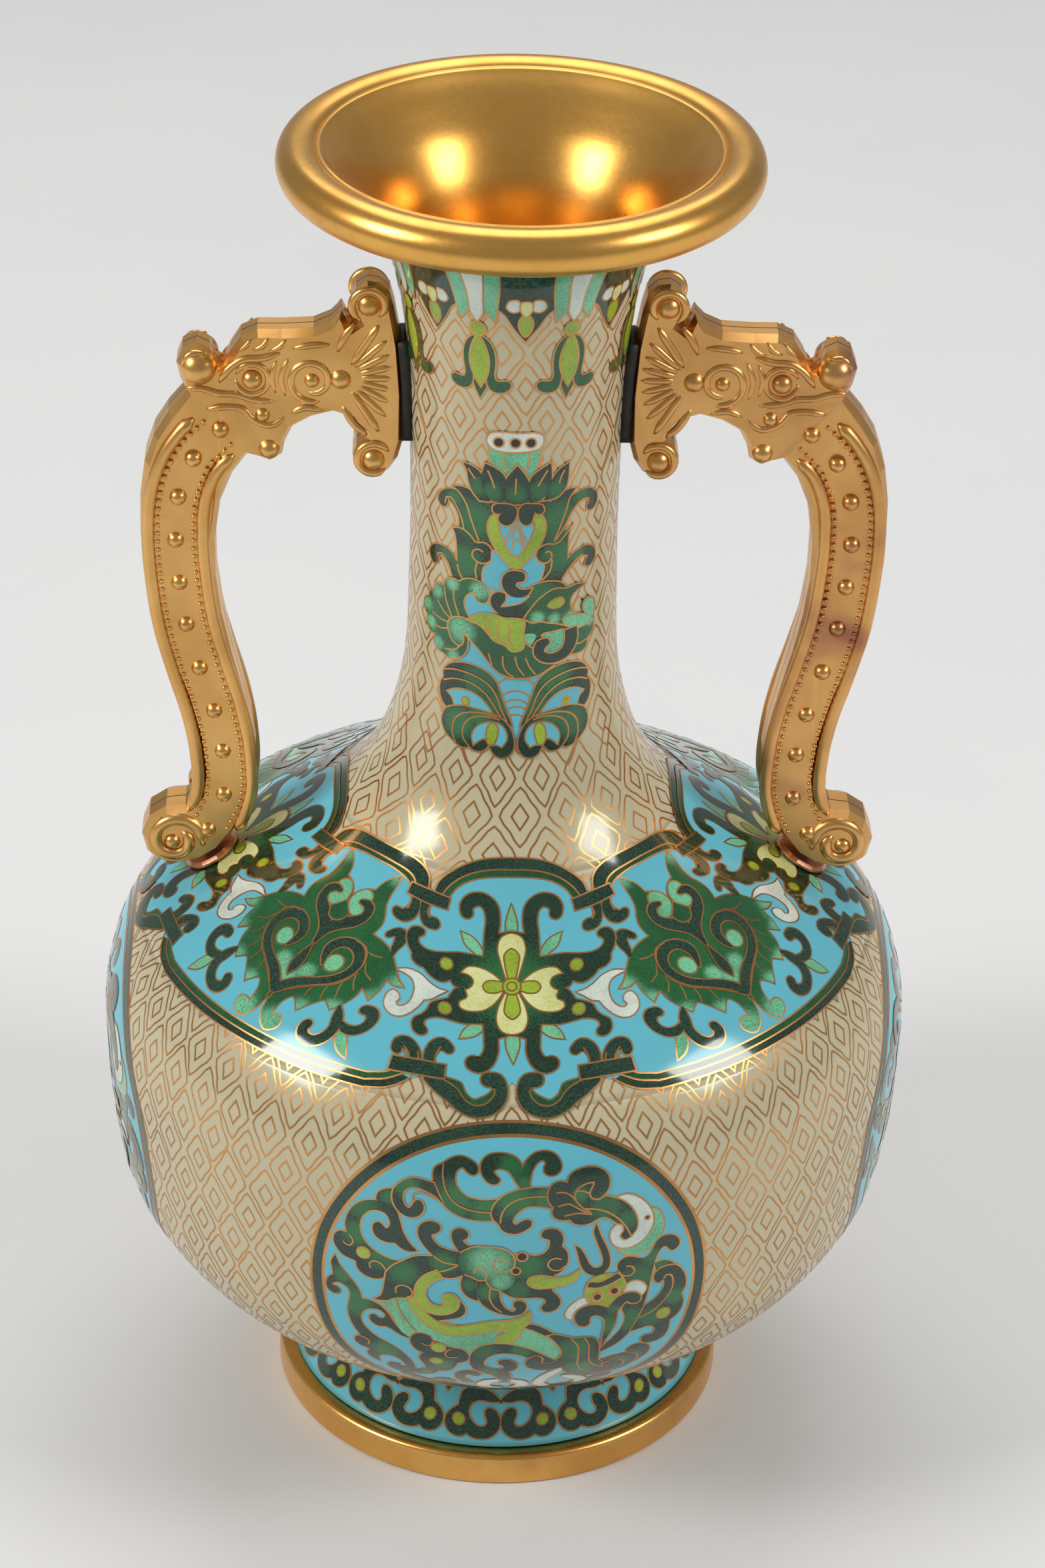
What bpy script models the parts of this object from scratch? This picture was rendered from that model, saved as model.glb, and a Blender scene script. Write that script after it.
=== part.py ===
"""Cloisonne enamel vase with a gilt trumpet mouth, two dragon-head handles and a gilt foot ring.

Units are metres. +Z is up, the vase stands on z = 0 and its axis is the Z axis. The front medallion
faces -Y and the handles lie in the XZ plane. Every part of the wall follows one outer profile: the
enamel coats lie on it, and the copper shells and the gilt mouth lining lie inside it.
"""

import math

import bmesh
import bpy
import numpy as np

MM = 0.001

# Overall sizes, in millimetres.
HEIGHT = 305.0
SEGMENTS = 40
GAP = 0.3
ENAMEL = 0.9
COPPER = 1.2
LINING = 0.8

# Outer profile of the enamelled body, as (height, radius), from the belly's underside to the neck.
BODY = (
    (16.8, 33.5), (20.0, 39.6), (24.4, 45.9), (33.6, 57.6), (45.8, 74.6), (61.0, 84.9), (76.2, 88.0),
    (91.5, 89.1), (105.2, 89.0), (117.4, 85.4), (129.6, 75.9), (140.3, 57.8), (152.5, 39.8),
    (164.7, 29.8), (183.0, 24.0), (207.4, 22.6), (237.9, 22.6), (262.3, 23.6), (280.6, 26.8),
    (287.0, 29.4), (291.6, 32.6), (295.0, 36.8), (297.0, 40.0),
    (298.6, 43.6),
)
# Heights of the rings of vertices that every wall shares.
STATIONS = (
    19.4, 21.6, 25.5, 31.0, 38.0, 46.0, 54.0, 64.0, 76.0, 90.0, 104.0, 115.0, 124.4, 132.0, 140.0,
    147.0, 154.0, 163.0, 178.0, 205.0, 240.0, 262.0, 276.0, 284.0, 289.0, 293.0, 295.6,
)
BAND_LOW = 124.4  # lower edge of the turquoise shoulder band
BAND_HIGH = 154.0  # upper edge of the shoulder band
MOUTH_END = 297.2  # where the enamel stops under the rim bead
SHELL_END = 297.35

# Rim bead and mouth lining.
RIM_RADIUS = 49.7
BEAD_RADIUS = 4.8
LINING_LOW = 228.0
LINING_HIGH = 297.5

# Foot: the enamelled wall flares down to the gilt ring.
FOOT_TOP = (21.0, 41.4)
FOOT_LOW = (8.4, 48.2)
RING_RADIUS = 51.0
RING_INNER = 44.6
RING_HEIGHT = 7.6
FLOOR_RADIUS = 27.0
FLOOR_HEIGHT = 15.2

# Round medallions on the belly, one on each of the four sides.
MEDALLION_Z = 81.6
MEDALLION_HALF_WIDTH = 41.7
MEDALLION_HALF_HEIGHT = 39.8

# Handles: one half casting each side of the XZ plane, drawn for the +X handle as (x, z).
HANDLE_HALF_DEPTH = 6.0
HEAD_HALF_DEPTH = 5.0
HANDLE_ROUNDING = 2.2
NECK_SEAT = ((23.4, 240.0), (23.3, 250.0), (24.1, 261.0))
UPPER_CURL = (
    (25.4, 268.5), (26.4, 272.4), (28.5, 274.4), (31.0, 274.8), (33.3, 273.2), (34.4, 270.4),
    (33.9, 267.6), (32.6, 265.8),
)
CREST = (
    (34.4, 264.0), (36.2, 268.2), (38.5, 265.8), (42.0, 264.2), (48.5, 263.8), (53.5, 263.8),
    (57.0, 262.2), (59.2, 258.6), (60.8, 254.9),
)
SNOUT = (
    (62.4, 256.8), (63.4, 259.5), (66.0, 260.8), (69.0, 259.4), (70.2, 256.2), (69.4, 252.6),
    (68.2, 250.0),
)
STRAP_OUTER = (
    (72.2, 245.0), (75.2, 240.0), (77.2, 234.0), (78.3, 226.0), (78.4, 217.0), (77.6, 208.0),
    (75.8, 198.0), (73.0, 188.0), (69.8, 178.5), (67.4, 169.0), (66.4, 160.0), (67.2, 154.0),
)
FOOT_SCROLL = (
    (70.3, 150.6), (74.5, 150.1), (78.2, 147.6), (79.9, 143.2), (78.8, 138.8), (75.4, 136.4),
    (71.0, 136.0), (66.9, 137.4), (63.2, 139.8),
)
STRAP_INNER = (
    (59.4, 145.0), (56.7, 150.5), (55.3, 157.0), (55.0, 164.0), (56.0, 172.0), (57.8, 180.5),
    (59.9, 189.0), (61.7, 198.0), (62.8, 207.0), (62.9, 216.0), (61.6, 225.0), (59.0, 231.5),
)
CHIN = ((55.6, 236.2), (53.6, 235.3), (51.0, 234.4), (48.6, 236.0), (48.0, 239.0), (46.4, 242.2))
THROAT = ((42.5, 244.4), (38.0, 245.6), (34.2, 244.4), (31.4, 241.4))
LOWER_CURL = (
    (31.2, 239.4), (33.2, 238.2), (34.0, 235.8), (32.8, 232.9), (29.8, 231.3), (26.6, 232.4),
    (24.6, 235.4),
)

# Copper pad under each handle.
PAD_RADIUS = 6.4
PAD_THICKNESS = 1.1
PAD_AT = (64.6, 136.3)
PAD_TILT = math.radians(30.6)

COPPER_COLOUR = (0.62, 0.30, 0.18, 1)
GILT_COLOUR = (0.86, 0.60, 0.26, 1)
CREAM = (0.56, 0.50, 0.33, 1)
TURQUOISE = (0.13, 0.50, 0.62, 1)


def material(name, colour, metallic, roughness):
    """Returns a named Principled material."""
    made = bpy.data.materials.new(name)
    made.use_nodes = True
    shader = made.node_tree.nodes["Principled BSDF"]
    shader.inputs["Base Color"].default_value = colour
    shader.inputs["Metallic"].default_value = metallic
    shader.inputs["Roughness"].default_value = roughness
    made.diffuse_color = colour
    return made


def spline(points, samples):
    """Returns a smooth curve through the points (centripetal Catmull-Rom), samples per span."""
    p = np.array(points, float)
    p = np.vstack([2 * p[0] - p[1], p, 2 * p[-1] - p[-2]])
    curve = []
    for a, b, c, d in zip(p[:-3], p[1:-2], p[2:-1], p[3:]):
        t1 = math.dist(a, b) ** 0.5
        t2 = t1 + math.dist(b, c) ** 0.5
        t3 = t2 + math.dist(c, d) ** 0.5
        for t in np.linspace(t1, t2, samples, endpoint=False):
            ab = a + (b - a) * t / t1
            bc = b + (c - b) * (t - t1) / (t2 - t1)
            cd = c + (d - c) * (t - t2) / (t3 - t2)
            abc = ab + (bc - ab) * t / t2
            bcd = bc + (cd - bc) * (t - t1) / (t3 - t1)
            curve.append(abc + (bcd - abc) * (t - t1) / (t2 - t1))
    return np.array(curve + [p[-2]])


PROFILE = spline(BODY, 24)


def wall(low, high, outer, inner):
    """Returns the closed outline of a wall between two heights, at two depths under the profile."""
    heights = np.array([low] + [z for z in STATIONS if low + 1.5 < z < high - 1.5] + [high])
    rows = len(heights)
    slope = np.gradient(PROFILE[:, 1], PROFILE[:, 0])
    radius = np.interp(heights, PROFILE[:, 0], PROFILE[:, 1])
    lean = np.interp(heights, PROFILE[:, 0], slope)
    normal = np.column_stack([-lean, np.ones(rows)]) / np.hypot(1, lean)[:, None]
    face = np.column_stack([heights, radius])
    return np.vstack([(face - outer * normal)[::-1], face - inner * normal])


def add_mesh(name, vertices, faces, colour):
    """Adds a mesh object from millimetre vertices, with its normals facing out."""
    mesh = bpy.data.meshes.new(name)
    mesh.from_pydata([tuple(MM * c for c in v) for v in vertices], [], faces)
    tidy = bmesh.new()
    tidy.from_mesh(mesh)
    bmesh.ops.recalc_face_normals(tidy, faces=tidy.faces)
    tidy.to_mesh(mesh)
    tidy.free()
    mesh.materials.append(colour)
    made = bpy.data.objects.new(name, mesh)
    bpy.context.scene.collection.objects.link(made)
    return made


def revolve(name, outline, colour, segments=SEGMENTS):
    """Revolves a closed (height, radius) outline round Z. Points on the axis become one vertex."""
    vertices, rings = [], []
    for height, radius in outline:
        if radius < 1e-6:
            rings.append([len(vertices)] * segments)
            vertices.append((0, 0, height))
            continue
        rings.append(list(range(len(vertices), len(vertices) + segments)))
        for step in range(segments):
            turn = 2 * math.pi * step / segments
            vertices.append((radius * math.cos(turn), radius * math.sin(turn), height))
    faces = []
    for ring, other in zip(rings, rings[1:] + rings[:1]):
        for step in range(segments):
            after = (step + 1) % segments
            corners = [ring[step], ring[after], other[after], other[step]]
            distinct = list(dict.fromkeys(corners))
            if len(distinct) > 2:
                faces.append(distinct)
    return add_mesh(name, vertices, faces, colour)


def cutter_collection():
    """Returns the hidden collection that holds the Boolean cutters."""
    made = bpy.data.collections.new("cutters")
    bpy.context.scene.collection.children.link(made)
    made.hide_render = True
    return made


def medallion_cutter(name, shrink, turn, cutters):
    """Adds an elliptical prism that runs from the axis out through the belly on one side."""
    corners = 44
    vertices = []
    for reach in (20.0, 110.0):
        for step in range(corners):
            angle = 2 * math.pi * (step + 0.5) / corners
            across = (MEDALLION_HALF_WIDTH - shrink) * math.cos(angle)
            up = MEDALLION_Z + (MEDALLION_HALF_HEIGHT - shrink) * math.sin(angle)
            vertices.append((across, -reach, up))
    sides = [
        (i, (i + 1) % corners, corners + (i + 1) % corners, corners + i) for i in range(corners)
    ]
    caps = [tuple(range(corners)), tuple(range(2 * corners - 1, corners - 1, -1))]
    made = add_mesh(name, vertices, sides + caps, COPPER_MATERIAL)
    made.rotation_euler = (0, 0, turn)
    bpy.context.scene.collection.objects.unlink(made)
    cutters.objects.link(made)
    made.hide_render = True
    made.display_type = "WIRE"
    return made


def boolean(target, cutter, operation):
    """Adds an exact Boolean to the target."""
    step = target.modifiers.new(cutter.name, "BOOLEAN")
    step.operation = operation
    step.solver = "EXACT"
    step.object = cutter


def handle_half(name, side, front, colour):
    """Adds one half casting of a handle: side is +1 or -1 along X, front is True towards -Y."""
    outline = (
        NECK_SEAT + UPPER_CURL + CREST + SNOUT + STRAP_OUTER + FOOT_SCROLL + STRAP_INNER + CHIN
        + THROAT + LOWER_CURL
    )
    points = np.array(outline, float)
    count = len(points)
    along = np.roll(points, -1, 0) - np.roll(points, 1, 0)
    inward = np.column_stack([along[:, 1], -along[:, 0]]) / np.hypot(*along.T)[:, None]
    head = np.clip((points[:, 1] - 238.0) / 14.0, 0, 1)
    depth = HANDLE_HALF_DEPTH + (HEAD_HALF_DEPTH - HANDLE_HALF_DEPTH) * head
    facing = -1 if front else 1
    vertices = []
    for inset, level in ((0.0, 0.0), (0.0, 1.0), (HANDLE_ROUNDING * 0.5, 1.0)):
        for (x, z), (nx, nz), deep in zip(points, inward, depth):
            if level == 0.0:
                y = GAP / 2
            else:
                y = deep - HANDLE_ROUNDING * (1.0 if inset == 0.0 else 0.0)
            vertices.append((side * (x + inset * nx), facing * y, z + inset * nz))
    faces = []
    for level in range(2):
        for i in range(count):
            after = (i + 1) % count
            low, high = level * count, (level + 1) * count
            faces.append((low + i, low + after, high + after, high + i))
    faces.append(tuple(range(count)))
    faces.append(tuple(range(2 * count, 3 * count)))
    return add_mesh(name, vertices, faces, colour)


def pad(name, side, colour):
    """Adds the copper pad that a handle stands on, tilted to lie on the shoulder."""
    lift = GAP + 0.1
    outline = [(0, 0), (0, PAD_RADIUS), (PAD_THICKNESS * 0.5, PAD_RADIUS), (PAD_THICKNESS, 5.6),
               (PAD_THICKNESS, 0)]
    made = revolve(name, outline, colour, 20)
    x, z = PAD_AT
    made.location = (
        side * MM * (x + lift * math.sin(PAD_TILT)), 0, MM * (z + lift * math.cos(PAD_TILT))
    )
    made.rotation_euler = (0, side * PAD_TILT, 0)
    return made


for existing in list(bpy.data.objects):
    bpy.data.objects.remove(existing)

COPPER_MATERIAL = material("copper", COPPER_COLOUR, 1.0, 0.45)
PAD_MATERIAL = material("pad_copper", COPPER_COLOUR, 1.0, 0.4)
GILT_MATERIAL = material("gilt_brass", GILT_COLOUR, 1.0, 0.3)
HANDLE_MATERIAL = material("gilt_handle", GILT_COLOUR, 1.0, 0.32)
CREAM_MATERIAL = material("cream_enamel", CREAM, 0.0, 0.15)
TURQUOISE_MATERIAL = material("turquoise_enamel", TURQUOISE, 0.0, 0.15)
BASE_MATERIAL = material("base_enamel", TURQUOISE, 0.0, 0.3)

shell_outer = ENAMEL + GAP
shell_inner = shell_outer + COPPER
half_gap = GAP / 2

# Mouth: the rolled bead, and the spun lining that runs down into the neck.
bead_centre = RIM_RADIUS - BEAD_RADIUS
bead = [
    (HEIGHT - BEAD_RADIUS + BEAD_RADIUS * math.cos(a), bead_centre + BEAD_RADIUS * math.sin(a))
    for a in np.linspace(0, 2 * math.pi, 12, endpoint=False)
]
revolve("rim_bead", bead, GILT_MATERIAL)
lining_outer = shell_inner + GAP
revolve("mouth_lining", wall(LINING_LOW, LINING_HIGH, lining_outer, lining_outer + LINING),
        GILT_MATERIAL)

# Copper body: neck, shoulder and belly spinnings, joined end to end.
revolve("neck_shell", wall(BAND_HIGH + half_gap, SHELL_END, shell_outer, shell_inner),
        COPPER_MATERIAL)
revolve("shoulder_shell", wall(104.0 + half_gap, BAND_HIGH - half_gap, shell_outer, shell_inner),
        COPPER_MATERIAL)
belly = wall(19.4, 104.0 - half_gap, shell_outer, shell_inner)
rows = len(belly) // 2
floor_top = FLOOR_HEIGHT + shell_inner
bowl = np.vstack([
    belly[:rows], [(FLOOR_HEIGHT + shell_outer, FLOOR_RADIUS), (FLOOR_HEIGHT + shell_outer, 0.0)],
    [(floor_top, 0.0), (floor_top, FLOOR_RADIUS - 0.4)], belly[rows:],
])
revolve("belly_shell", bowl, COPPER_MATERIAL)

# Enamel coats.
revolve("neck_enamel", wall(BAND_HIGH + half_gap, MOUTH_END, 0, ENAMEL), CREAM_MATERIAL)
revolve("shoulder_band_enamel", wall(BAND_LOW + half_gap, BAND_HIGH - half_gap, 0, ENAMEL),
        TURQUOISE_MATERIAL)
belly_outline = wall(21.6, BAND_LOW - half_gap, 0, ENAMEL)
belly_coat = revolve("belly_enamel", belly_outline, CREAM_MATERIAL)
cutters = cutter_collection()
for place, turn in (("front", 0), ("right", 90), ("back", 180), ("left", 270)):
    opening = medallion_cutter(f"{place}_opening", 0.0, math.radians(turn), cutters)
    boolean(belly_coat, opening, "DIFFERENCE")
    medallion = revolve(f"medallion_{place}", belly_outline, TURQUOISE_MATERIAL)
    disc = medallion_cutter(f"{place}_disc", GAP, math.radians(turn), cutters)
    boolean(medallion, disc, "INTERSECT")

# Foot: copper wall, its enamel, the gilt ring it stands in, and the enamel under the floor.
(top_z, top_r), (low_z, low_r) = FOOT_TOP, FOOT_LOW
lean = math.atan2(low_r - top_r, top_z - low_z)


def foot_outline(drop, outer, inner):
    """Returns the outline of a coat of the foot wall, cut level at its top and its bottom."""
    outer, inner = outer / math.cos(lean), inner / math.cos(lean)
    top, top_radius = top_z - drop, top_r + drop * math.tan(lean)
    return [(top, top_radius - outer), (low_z, low_r - outer), (low_z, low_r - inner),
            (top, top_radius - inner)]


revolve("foot_enamel", foot_outline(0.0, 0.0, ENAMEL), TURQUOISE_MATERIAL)
revolve("foot_wall", foot_outline(1.0, shell_outer, shell_inner), COPPER_MATERIAL)
ring = [
    (RING_HEIGHT - 0.6, RING_RADIUS - 0.5), (RING_HEIGHT, RING_RADIUS - 1.4),
    (RING_HEIGHT, RING_INNER), (0.0, RING_INNER), (0.0, RING_RADIUS - 0.6),
    (0.6, RING_RADIUS), (RING_HEIGHT - 1.6, RING_RADIUS),
]
revolve("foot_ring", ring, GILT_MATERIAL)
under = FLOOR_HEIGHT + ENAMEL
revolve("base_enamel", [(under, 0.0), (under, FLOOR_RADIUS), (FLOOR_HEIGHT, FLOOR_RADIUS),
                        (FLOOR_HEIGHT, 0.0)], BASE_MATERIAL)

# Handles and their pads.
for place, side in (("left", -1), ("right", 1)):
    handle_half(f"handle_{place}_front_half", side, True, HANDLE_MATERIAL)
    handle_half(f"handle_{place}_back_half", side, False, HANDLE_MATERIAL)
    pad(f"handle_{place}_pad", side, PAD_MATERIAL)
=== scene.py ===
"""Looks of a cloisonne vase: enamel cells between copper wires, gilt mouth, foot ring and dragon handles.

Lengths in the classes are millimetres and become metres where a mesh is placed. The wall's shape is
one profile of revolution. Ornament is drawn flat, as millimetres across and millimetres run along
that profile, and is then laid on the wall at a turn round the axis.
"""

from __future__ import annotations

import sys

import logging
import math
from dataclasses import dataclass, field
from enum import Enum
from typing import Iterable, Sequence

import bmesh
import bpy
import numpy as np
from mathutils import Matrix, Vector
from mathutils.geometry import delaunay_2d_cdt


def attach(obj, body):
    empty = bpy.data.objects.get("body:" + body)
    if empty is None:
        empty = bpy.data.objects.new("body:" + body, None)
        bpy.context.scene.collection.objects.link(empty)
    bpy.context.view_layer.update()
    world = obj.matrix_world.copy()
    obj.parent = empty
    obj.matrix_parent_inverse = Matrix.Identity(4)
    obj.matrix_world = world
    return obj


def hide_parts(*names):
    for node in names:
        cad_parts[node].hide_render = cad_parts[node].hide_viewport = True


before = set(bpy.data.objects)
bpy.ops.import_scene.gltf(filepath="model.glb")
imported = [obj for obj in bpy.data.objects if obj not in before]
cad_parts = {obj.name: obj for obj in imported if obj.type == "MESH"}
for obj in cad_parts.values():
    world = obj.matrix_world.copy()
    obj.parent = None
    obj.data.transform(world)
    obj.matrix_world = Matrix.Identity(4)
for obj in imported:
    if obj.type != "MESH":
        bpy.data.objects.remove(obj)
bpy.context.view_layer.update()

LOG = logging.getLogger("vase")
MM = 0.001
Flat = tuple[float, ...]


# ---------------------------------------------------------------------------------------------
# Shader building
# ---------------------------------------------------------------------------------------------


class Signal:
    """A shader socket that takes part in Python arithmetic."""

    def __init__(self, tree: "ShaderTree", socket: bpy.types.NodeSocket) -> None:
        """Wraps a socket.

        Args:
            tree: the tree the socket belongs to.
            socket: the output socket.
        """
        self.tree = tree
        self.socket = socket

    def _math(self, operation: str, *values: "Signal | float") -> "Signal":
        """Adds a Math node of that operation and returns its output."""
        return self.tree.node("ShaderNodeMath", {"operation": operation}, *values)

    def __add__(self, other: "Signal | float") -> "Signal":
        """Returns self + other."""
        return self._math("ADD", self, other)

    def __sub__(self, other: "Signal | float") -> "Signal":
        """Returns self - other."""
        return self._math("SUBTRACT", self, other)

    def __rsub__(self, other: "Signal | float") -> "Signal":
        """Returns other - self."""
        return self._math("SUBTRACT", other, self)

    def __mul__(self, other: "Signal | float") -> "Signal":
        """Returns self * other."""
        return self._math("MULTIPLY", self, other)

    def over(self, level: float) -> "Signal":
        """Returns 1 where self is above the level, else 0."""
        return self._math("GREATER_THAN", self, level)

    def between(self, low: float, high: float) -> "Signal":
        """Returns self rescaled so that low gives 0 and high gives 1, smoothly and clamped."""
        return self.tree.node(
            "ShaderNodeMapRange", {"interpolation_type": "SMOOTHSTEP"}, self, low, high, 0.0, 1.0
        )


class ShaderTree:
    """The node tree of one material, with a Principled shader and one way to add a node."""

    def __init__(self, name: str) -> None:
        """Makes a material of that name with an empty Principled shader."""
        self.material = bpy.data.materials.new(name)
        self.material.use_nodes = True
        self.nodes = self.material.node_tree.nodes
        self.links = self.material.node_tree.links
        self.shader = self.nodes["Principled BSDF"]

    def node(
        self, kind: str, settings: dict[str, object] | None = None, *values: object, out: int | str = 0
    ) -> Signal:
        """Adds a node.

        Args:
            kind: the node's type.
            settings: properties set before the sockets are read.
            values: a value or a Signal for each input in order, None to leave one alone.
            out: the output wanted.

        Returns:
            The chosen output.
        """
        made = self.nodes.new(kind)
        for key, value in (settings or {}).items():
            setattr(made, key, value)
        for slot, value in zip(made.inputs, values):
            self._feed(slot, value)
        return Signal(self, made.outputs[out])

    def _feed(self, slot: bpy.types.NodeSocket, value: object) -> None:
        """Links or sets one input socket."""
        if value is None:
            return
        if isinstance(value, Signal):
            self.links.new(value.socket, slot)
        else:
            slot.default_value = value

    def place(self) -> Signal:
        """Returns the Object coordinates, in metres."""
        return self.node("ShaderNodeTexCoord", out="Object")

    def noise(self, scale: float, detail: float = 2.0, rough: float = 0.5,
        at: Signal | None = None) -> Signal:
        """Returns a noise value from 0 to 1; scale is cells per metre."""
        return self.node(
            "ShaderNodeTexNoise", {"noise_dimensions": "3D"}, at or self.place(), None, scale, detail, rough
        )

    def spots(self, scale: float, at: Signal | None = None) -> Signal:
        """Returns the distance to the nearest of scattered points, in cells."""
        return self.node(
            "ShaderNodeTexVoronoi", {"feature": "F1"}, at or self.place(), None, scale, out="Distance"
        )

    def blend(self, share: Signal | float, low: object, high: object) -> Signal:
        """Returns a colour mixed from low to high."""
        made = self.nodes.new("ShaderNodeMix")
        made.data_type = "RGBA"
        self._feed(made.inputs["Factor"], share)
        self._feed(made.inputs["A"], low)
        self._feed(made.inputs["B"], high)
        return Signal(self, made.outputs["Result"])

    def bump(self, height: Signal, strength: float, distance: float) -> Signal:
        """Returns a bumped normal; distance is in metres."""
        made = self.nodes.new("ShaderNodeBump")
        made.inputs["Strength"].default_value = strength
        made.inputs["Distance"].default_value = distance
        self.links.new(height.socket, made.inputs["Height"])
        return Signal(self, made.outputs["Normal"])

    def finish(self, **sockets: object) -> bpy.types.Material:
        """Feeds the shader's sockets, named with underscores for spaces, and returns the material."""
        for key, value in sockets.items():
            self._feed(self.shader.inputs[key.replace("_", " ")], value)
        return self.material


def rgb(red: float, green: float, blue: float) -> tuple[float, float, float, float]:
    """Returns a linear colour from display values of 0 to 255."""
    linear = []
    for part in (red, green, blue):
        c = part / 255
        linear.append(c / 12.92 if c <= 0.04045 else ((c + 0.055) / 1.055) ** 2.4)
    return (linear[0], linear[1], linear[2], 1.0)


@dataclass(frozen=True)
class Enamel:
    """Polished vitreous enamel: a ground colour with fine grains of a second one, and pits."""

    name: str
    ground: tuple[float, float, float, float]
    grain: tuple[float, float, float, float]
    grain_share: float = 0.35
    grain_size: float = 0.35
    pits: float = 0.0
    tip: tuple[float, float, float, float] | None = None
    slot: str = "turquoise_enamel"

    def build(self) -> bpy.types.Material:
        """Returns the enamel's material."""
        tree = ShaderTree(self.name)
        fine = tree.noise(1000 / self.grain_size, 2.0, 0.7)
        cloud = tree.noise(90.0, 3.0, 0.6)
        mask = (fine + cloud * 0.35 - 0.17).between(0.62 - self.grain_share * 0.5,
            0.74 - self.grain_share * 0.3)
        ground: object = self.ground
        if self.tip is not None:
            fade = tree.node("ShaderNodeAttribute", {"attribute_name": "fade"}, out="Fac")
            grainy = (fade + (fine - 0.5) * 0.9).between(0.35, 0.75)
            ground = tree.blend(grainy, self.ground, self.tip)
        colour = tree.blend(mask * (0.75 if self.tip is None else 0.5), ground, self.grain)
        shade = tree.blend(cloud.between(0.3, 0.75) * 0.22, colour, rgb(20, 22, 20))
        rough = cloud * 0.06 + 0.07
        height = tree.noise(260.0, 2.0, 0.5)
        if self.pits > 0:
            hole = 1 - tree.spots(330.0).between(0.045, 0.11)
            keep = tree.noise(140.0, 1.0, 0.5).over(1 - self.pits)
            hole = hole * keep
            shade = tree.blend(hole, shade, rgb(45, 38, 26))
            rough = rough + hole * 0.4
        return tree.finish(
            Base_Color=shade,
            Roughness=rough,
            IOR=1.54,
            Coat_Weight=0.35,
            Coat_Roughness=0.04,
            Normal=tree.bump(height, 0.25, 0.00012),
        )


@dataclass(frozen=True)
class Gilding:
    """Satin gilt metal: fine scratches, soft clouds and darker hollows."""

    name: str
    bright: tuple[float, float, float, float]
    dull: tuple[float, float, float, float]
    rough: float = 0.24
    turned: float = 0.0
    hollow: float = 0.0
    blush: float = 0.0
    slot: str = "gilt_brass"

    def build(self) -> bpy.types.Material:
        """Returns the gilding's material."""
        tree = ShaderTree(self.name)
        place = tree.place()
        cloud = tree.noise(55.0, 4.0, 0.6)
        colour = tree.blend(cloud.between(0.38, 0.72) * 0.55, self.bright, self.dull)
        fine = tree.noise(900.0, 2.0, 0.6)
        rough = cloud * 0.14 + fine * 0.08 + (self.rough - 0.11)
        height = fine * 0.5
        if self.turned > 0:
            split = tree.node("ShaderNodeSeparateXYZ", None, place, out="Z")
            line = tree.node("ShaderNodeCombineXYZ", None, 0.0, 0.0, split * self.turned)
            groove = tree.noise(1.0, 3.0, 0.8, at=line)
            height = height + groove * 0.7
            rough = rough + groove * 0.06
        if self.hollow > 0:
            depth = tree.node("ShaderNodeAttribute", {"attribute_name": "fade"}, out="Fac")
            dark = (depth + (fine - 0.5) * 0.3).between(0.25, 0.95)
            colour = tree.blend(dark * self.hollow, colour, rgb(96, 52, 20))
            rough = rough + dark * 0.12
        if self.blush > 0:
            stain = tree.noise(34.0, 3.0, 0.55).between(0.55, 0.75)
            colour = tree.blend(stain * self.blush, colour, rgb(150, 82, 84))
        return tree.finish(
            Base_Color=colour,
            Metallic=1.0,
            Roughness=rough,
            Normal=tree.bump(height, 0.2, 0.00008),
        )


@dataclass(frozen=True)
class Matt:
    """A plain mottled finish for the floor, hidden copper, and the dark seam fillets at the handles, whose
    near-black is painted shade.
    """

    name: str
    light: tuple[float, float, float, float]
    dark: tuple[float, float, float, float]
    metallic: float = 0.0
    rough: float = 0.6
    scale: float = 120.0
    slot: str = "copper"

    def build(self) -> bpy.types.Material:
        """Returns the material."""
        tree = ShaderTree(self.name)
        cloud = tree.noise(self.scale, 4.0, 0.6)
        return tree.finish(
            Base_Color=tree.blend(cloud.between(0.35, 0.7), self.light, self.dark),
            Metallic=self.metallic,
            Roughness=cloud * 0.15 + (self.rough - 0.07),
            Normal=tree.bump(cloud, 0.15, 0.0001),
        )


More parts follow.
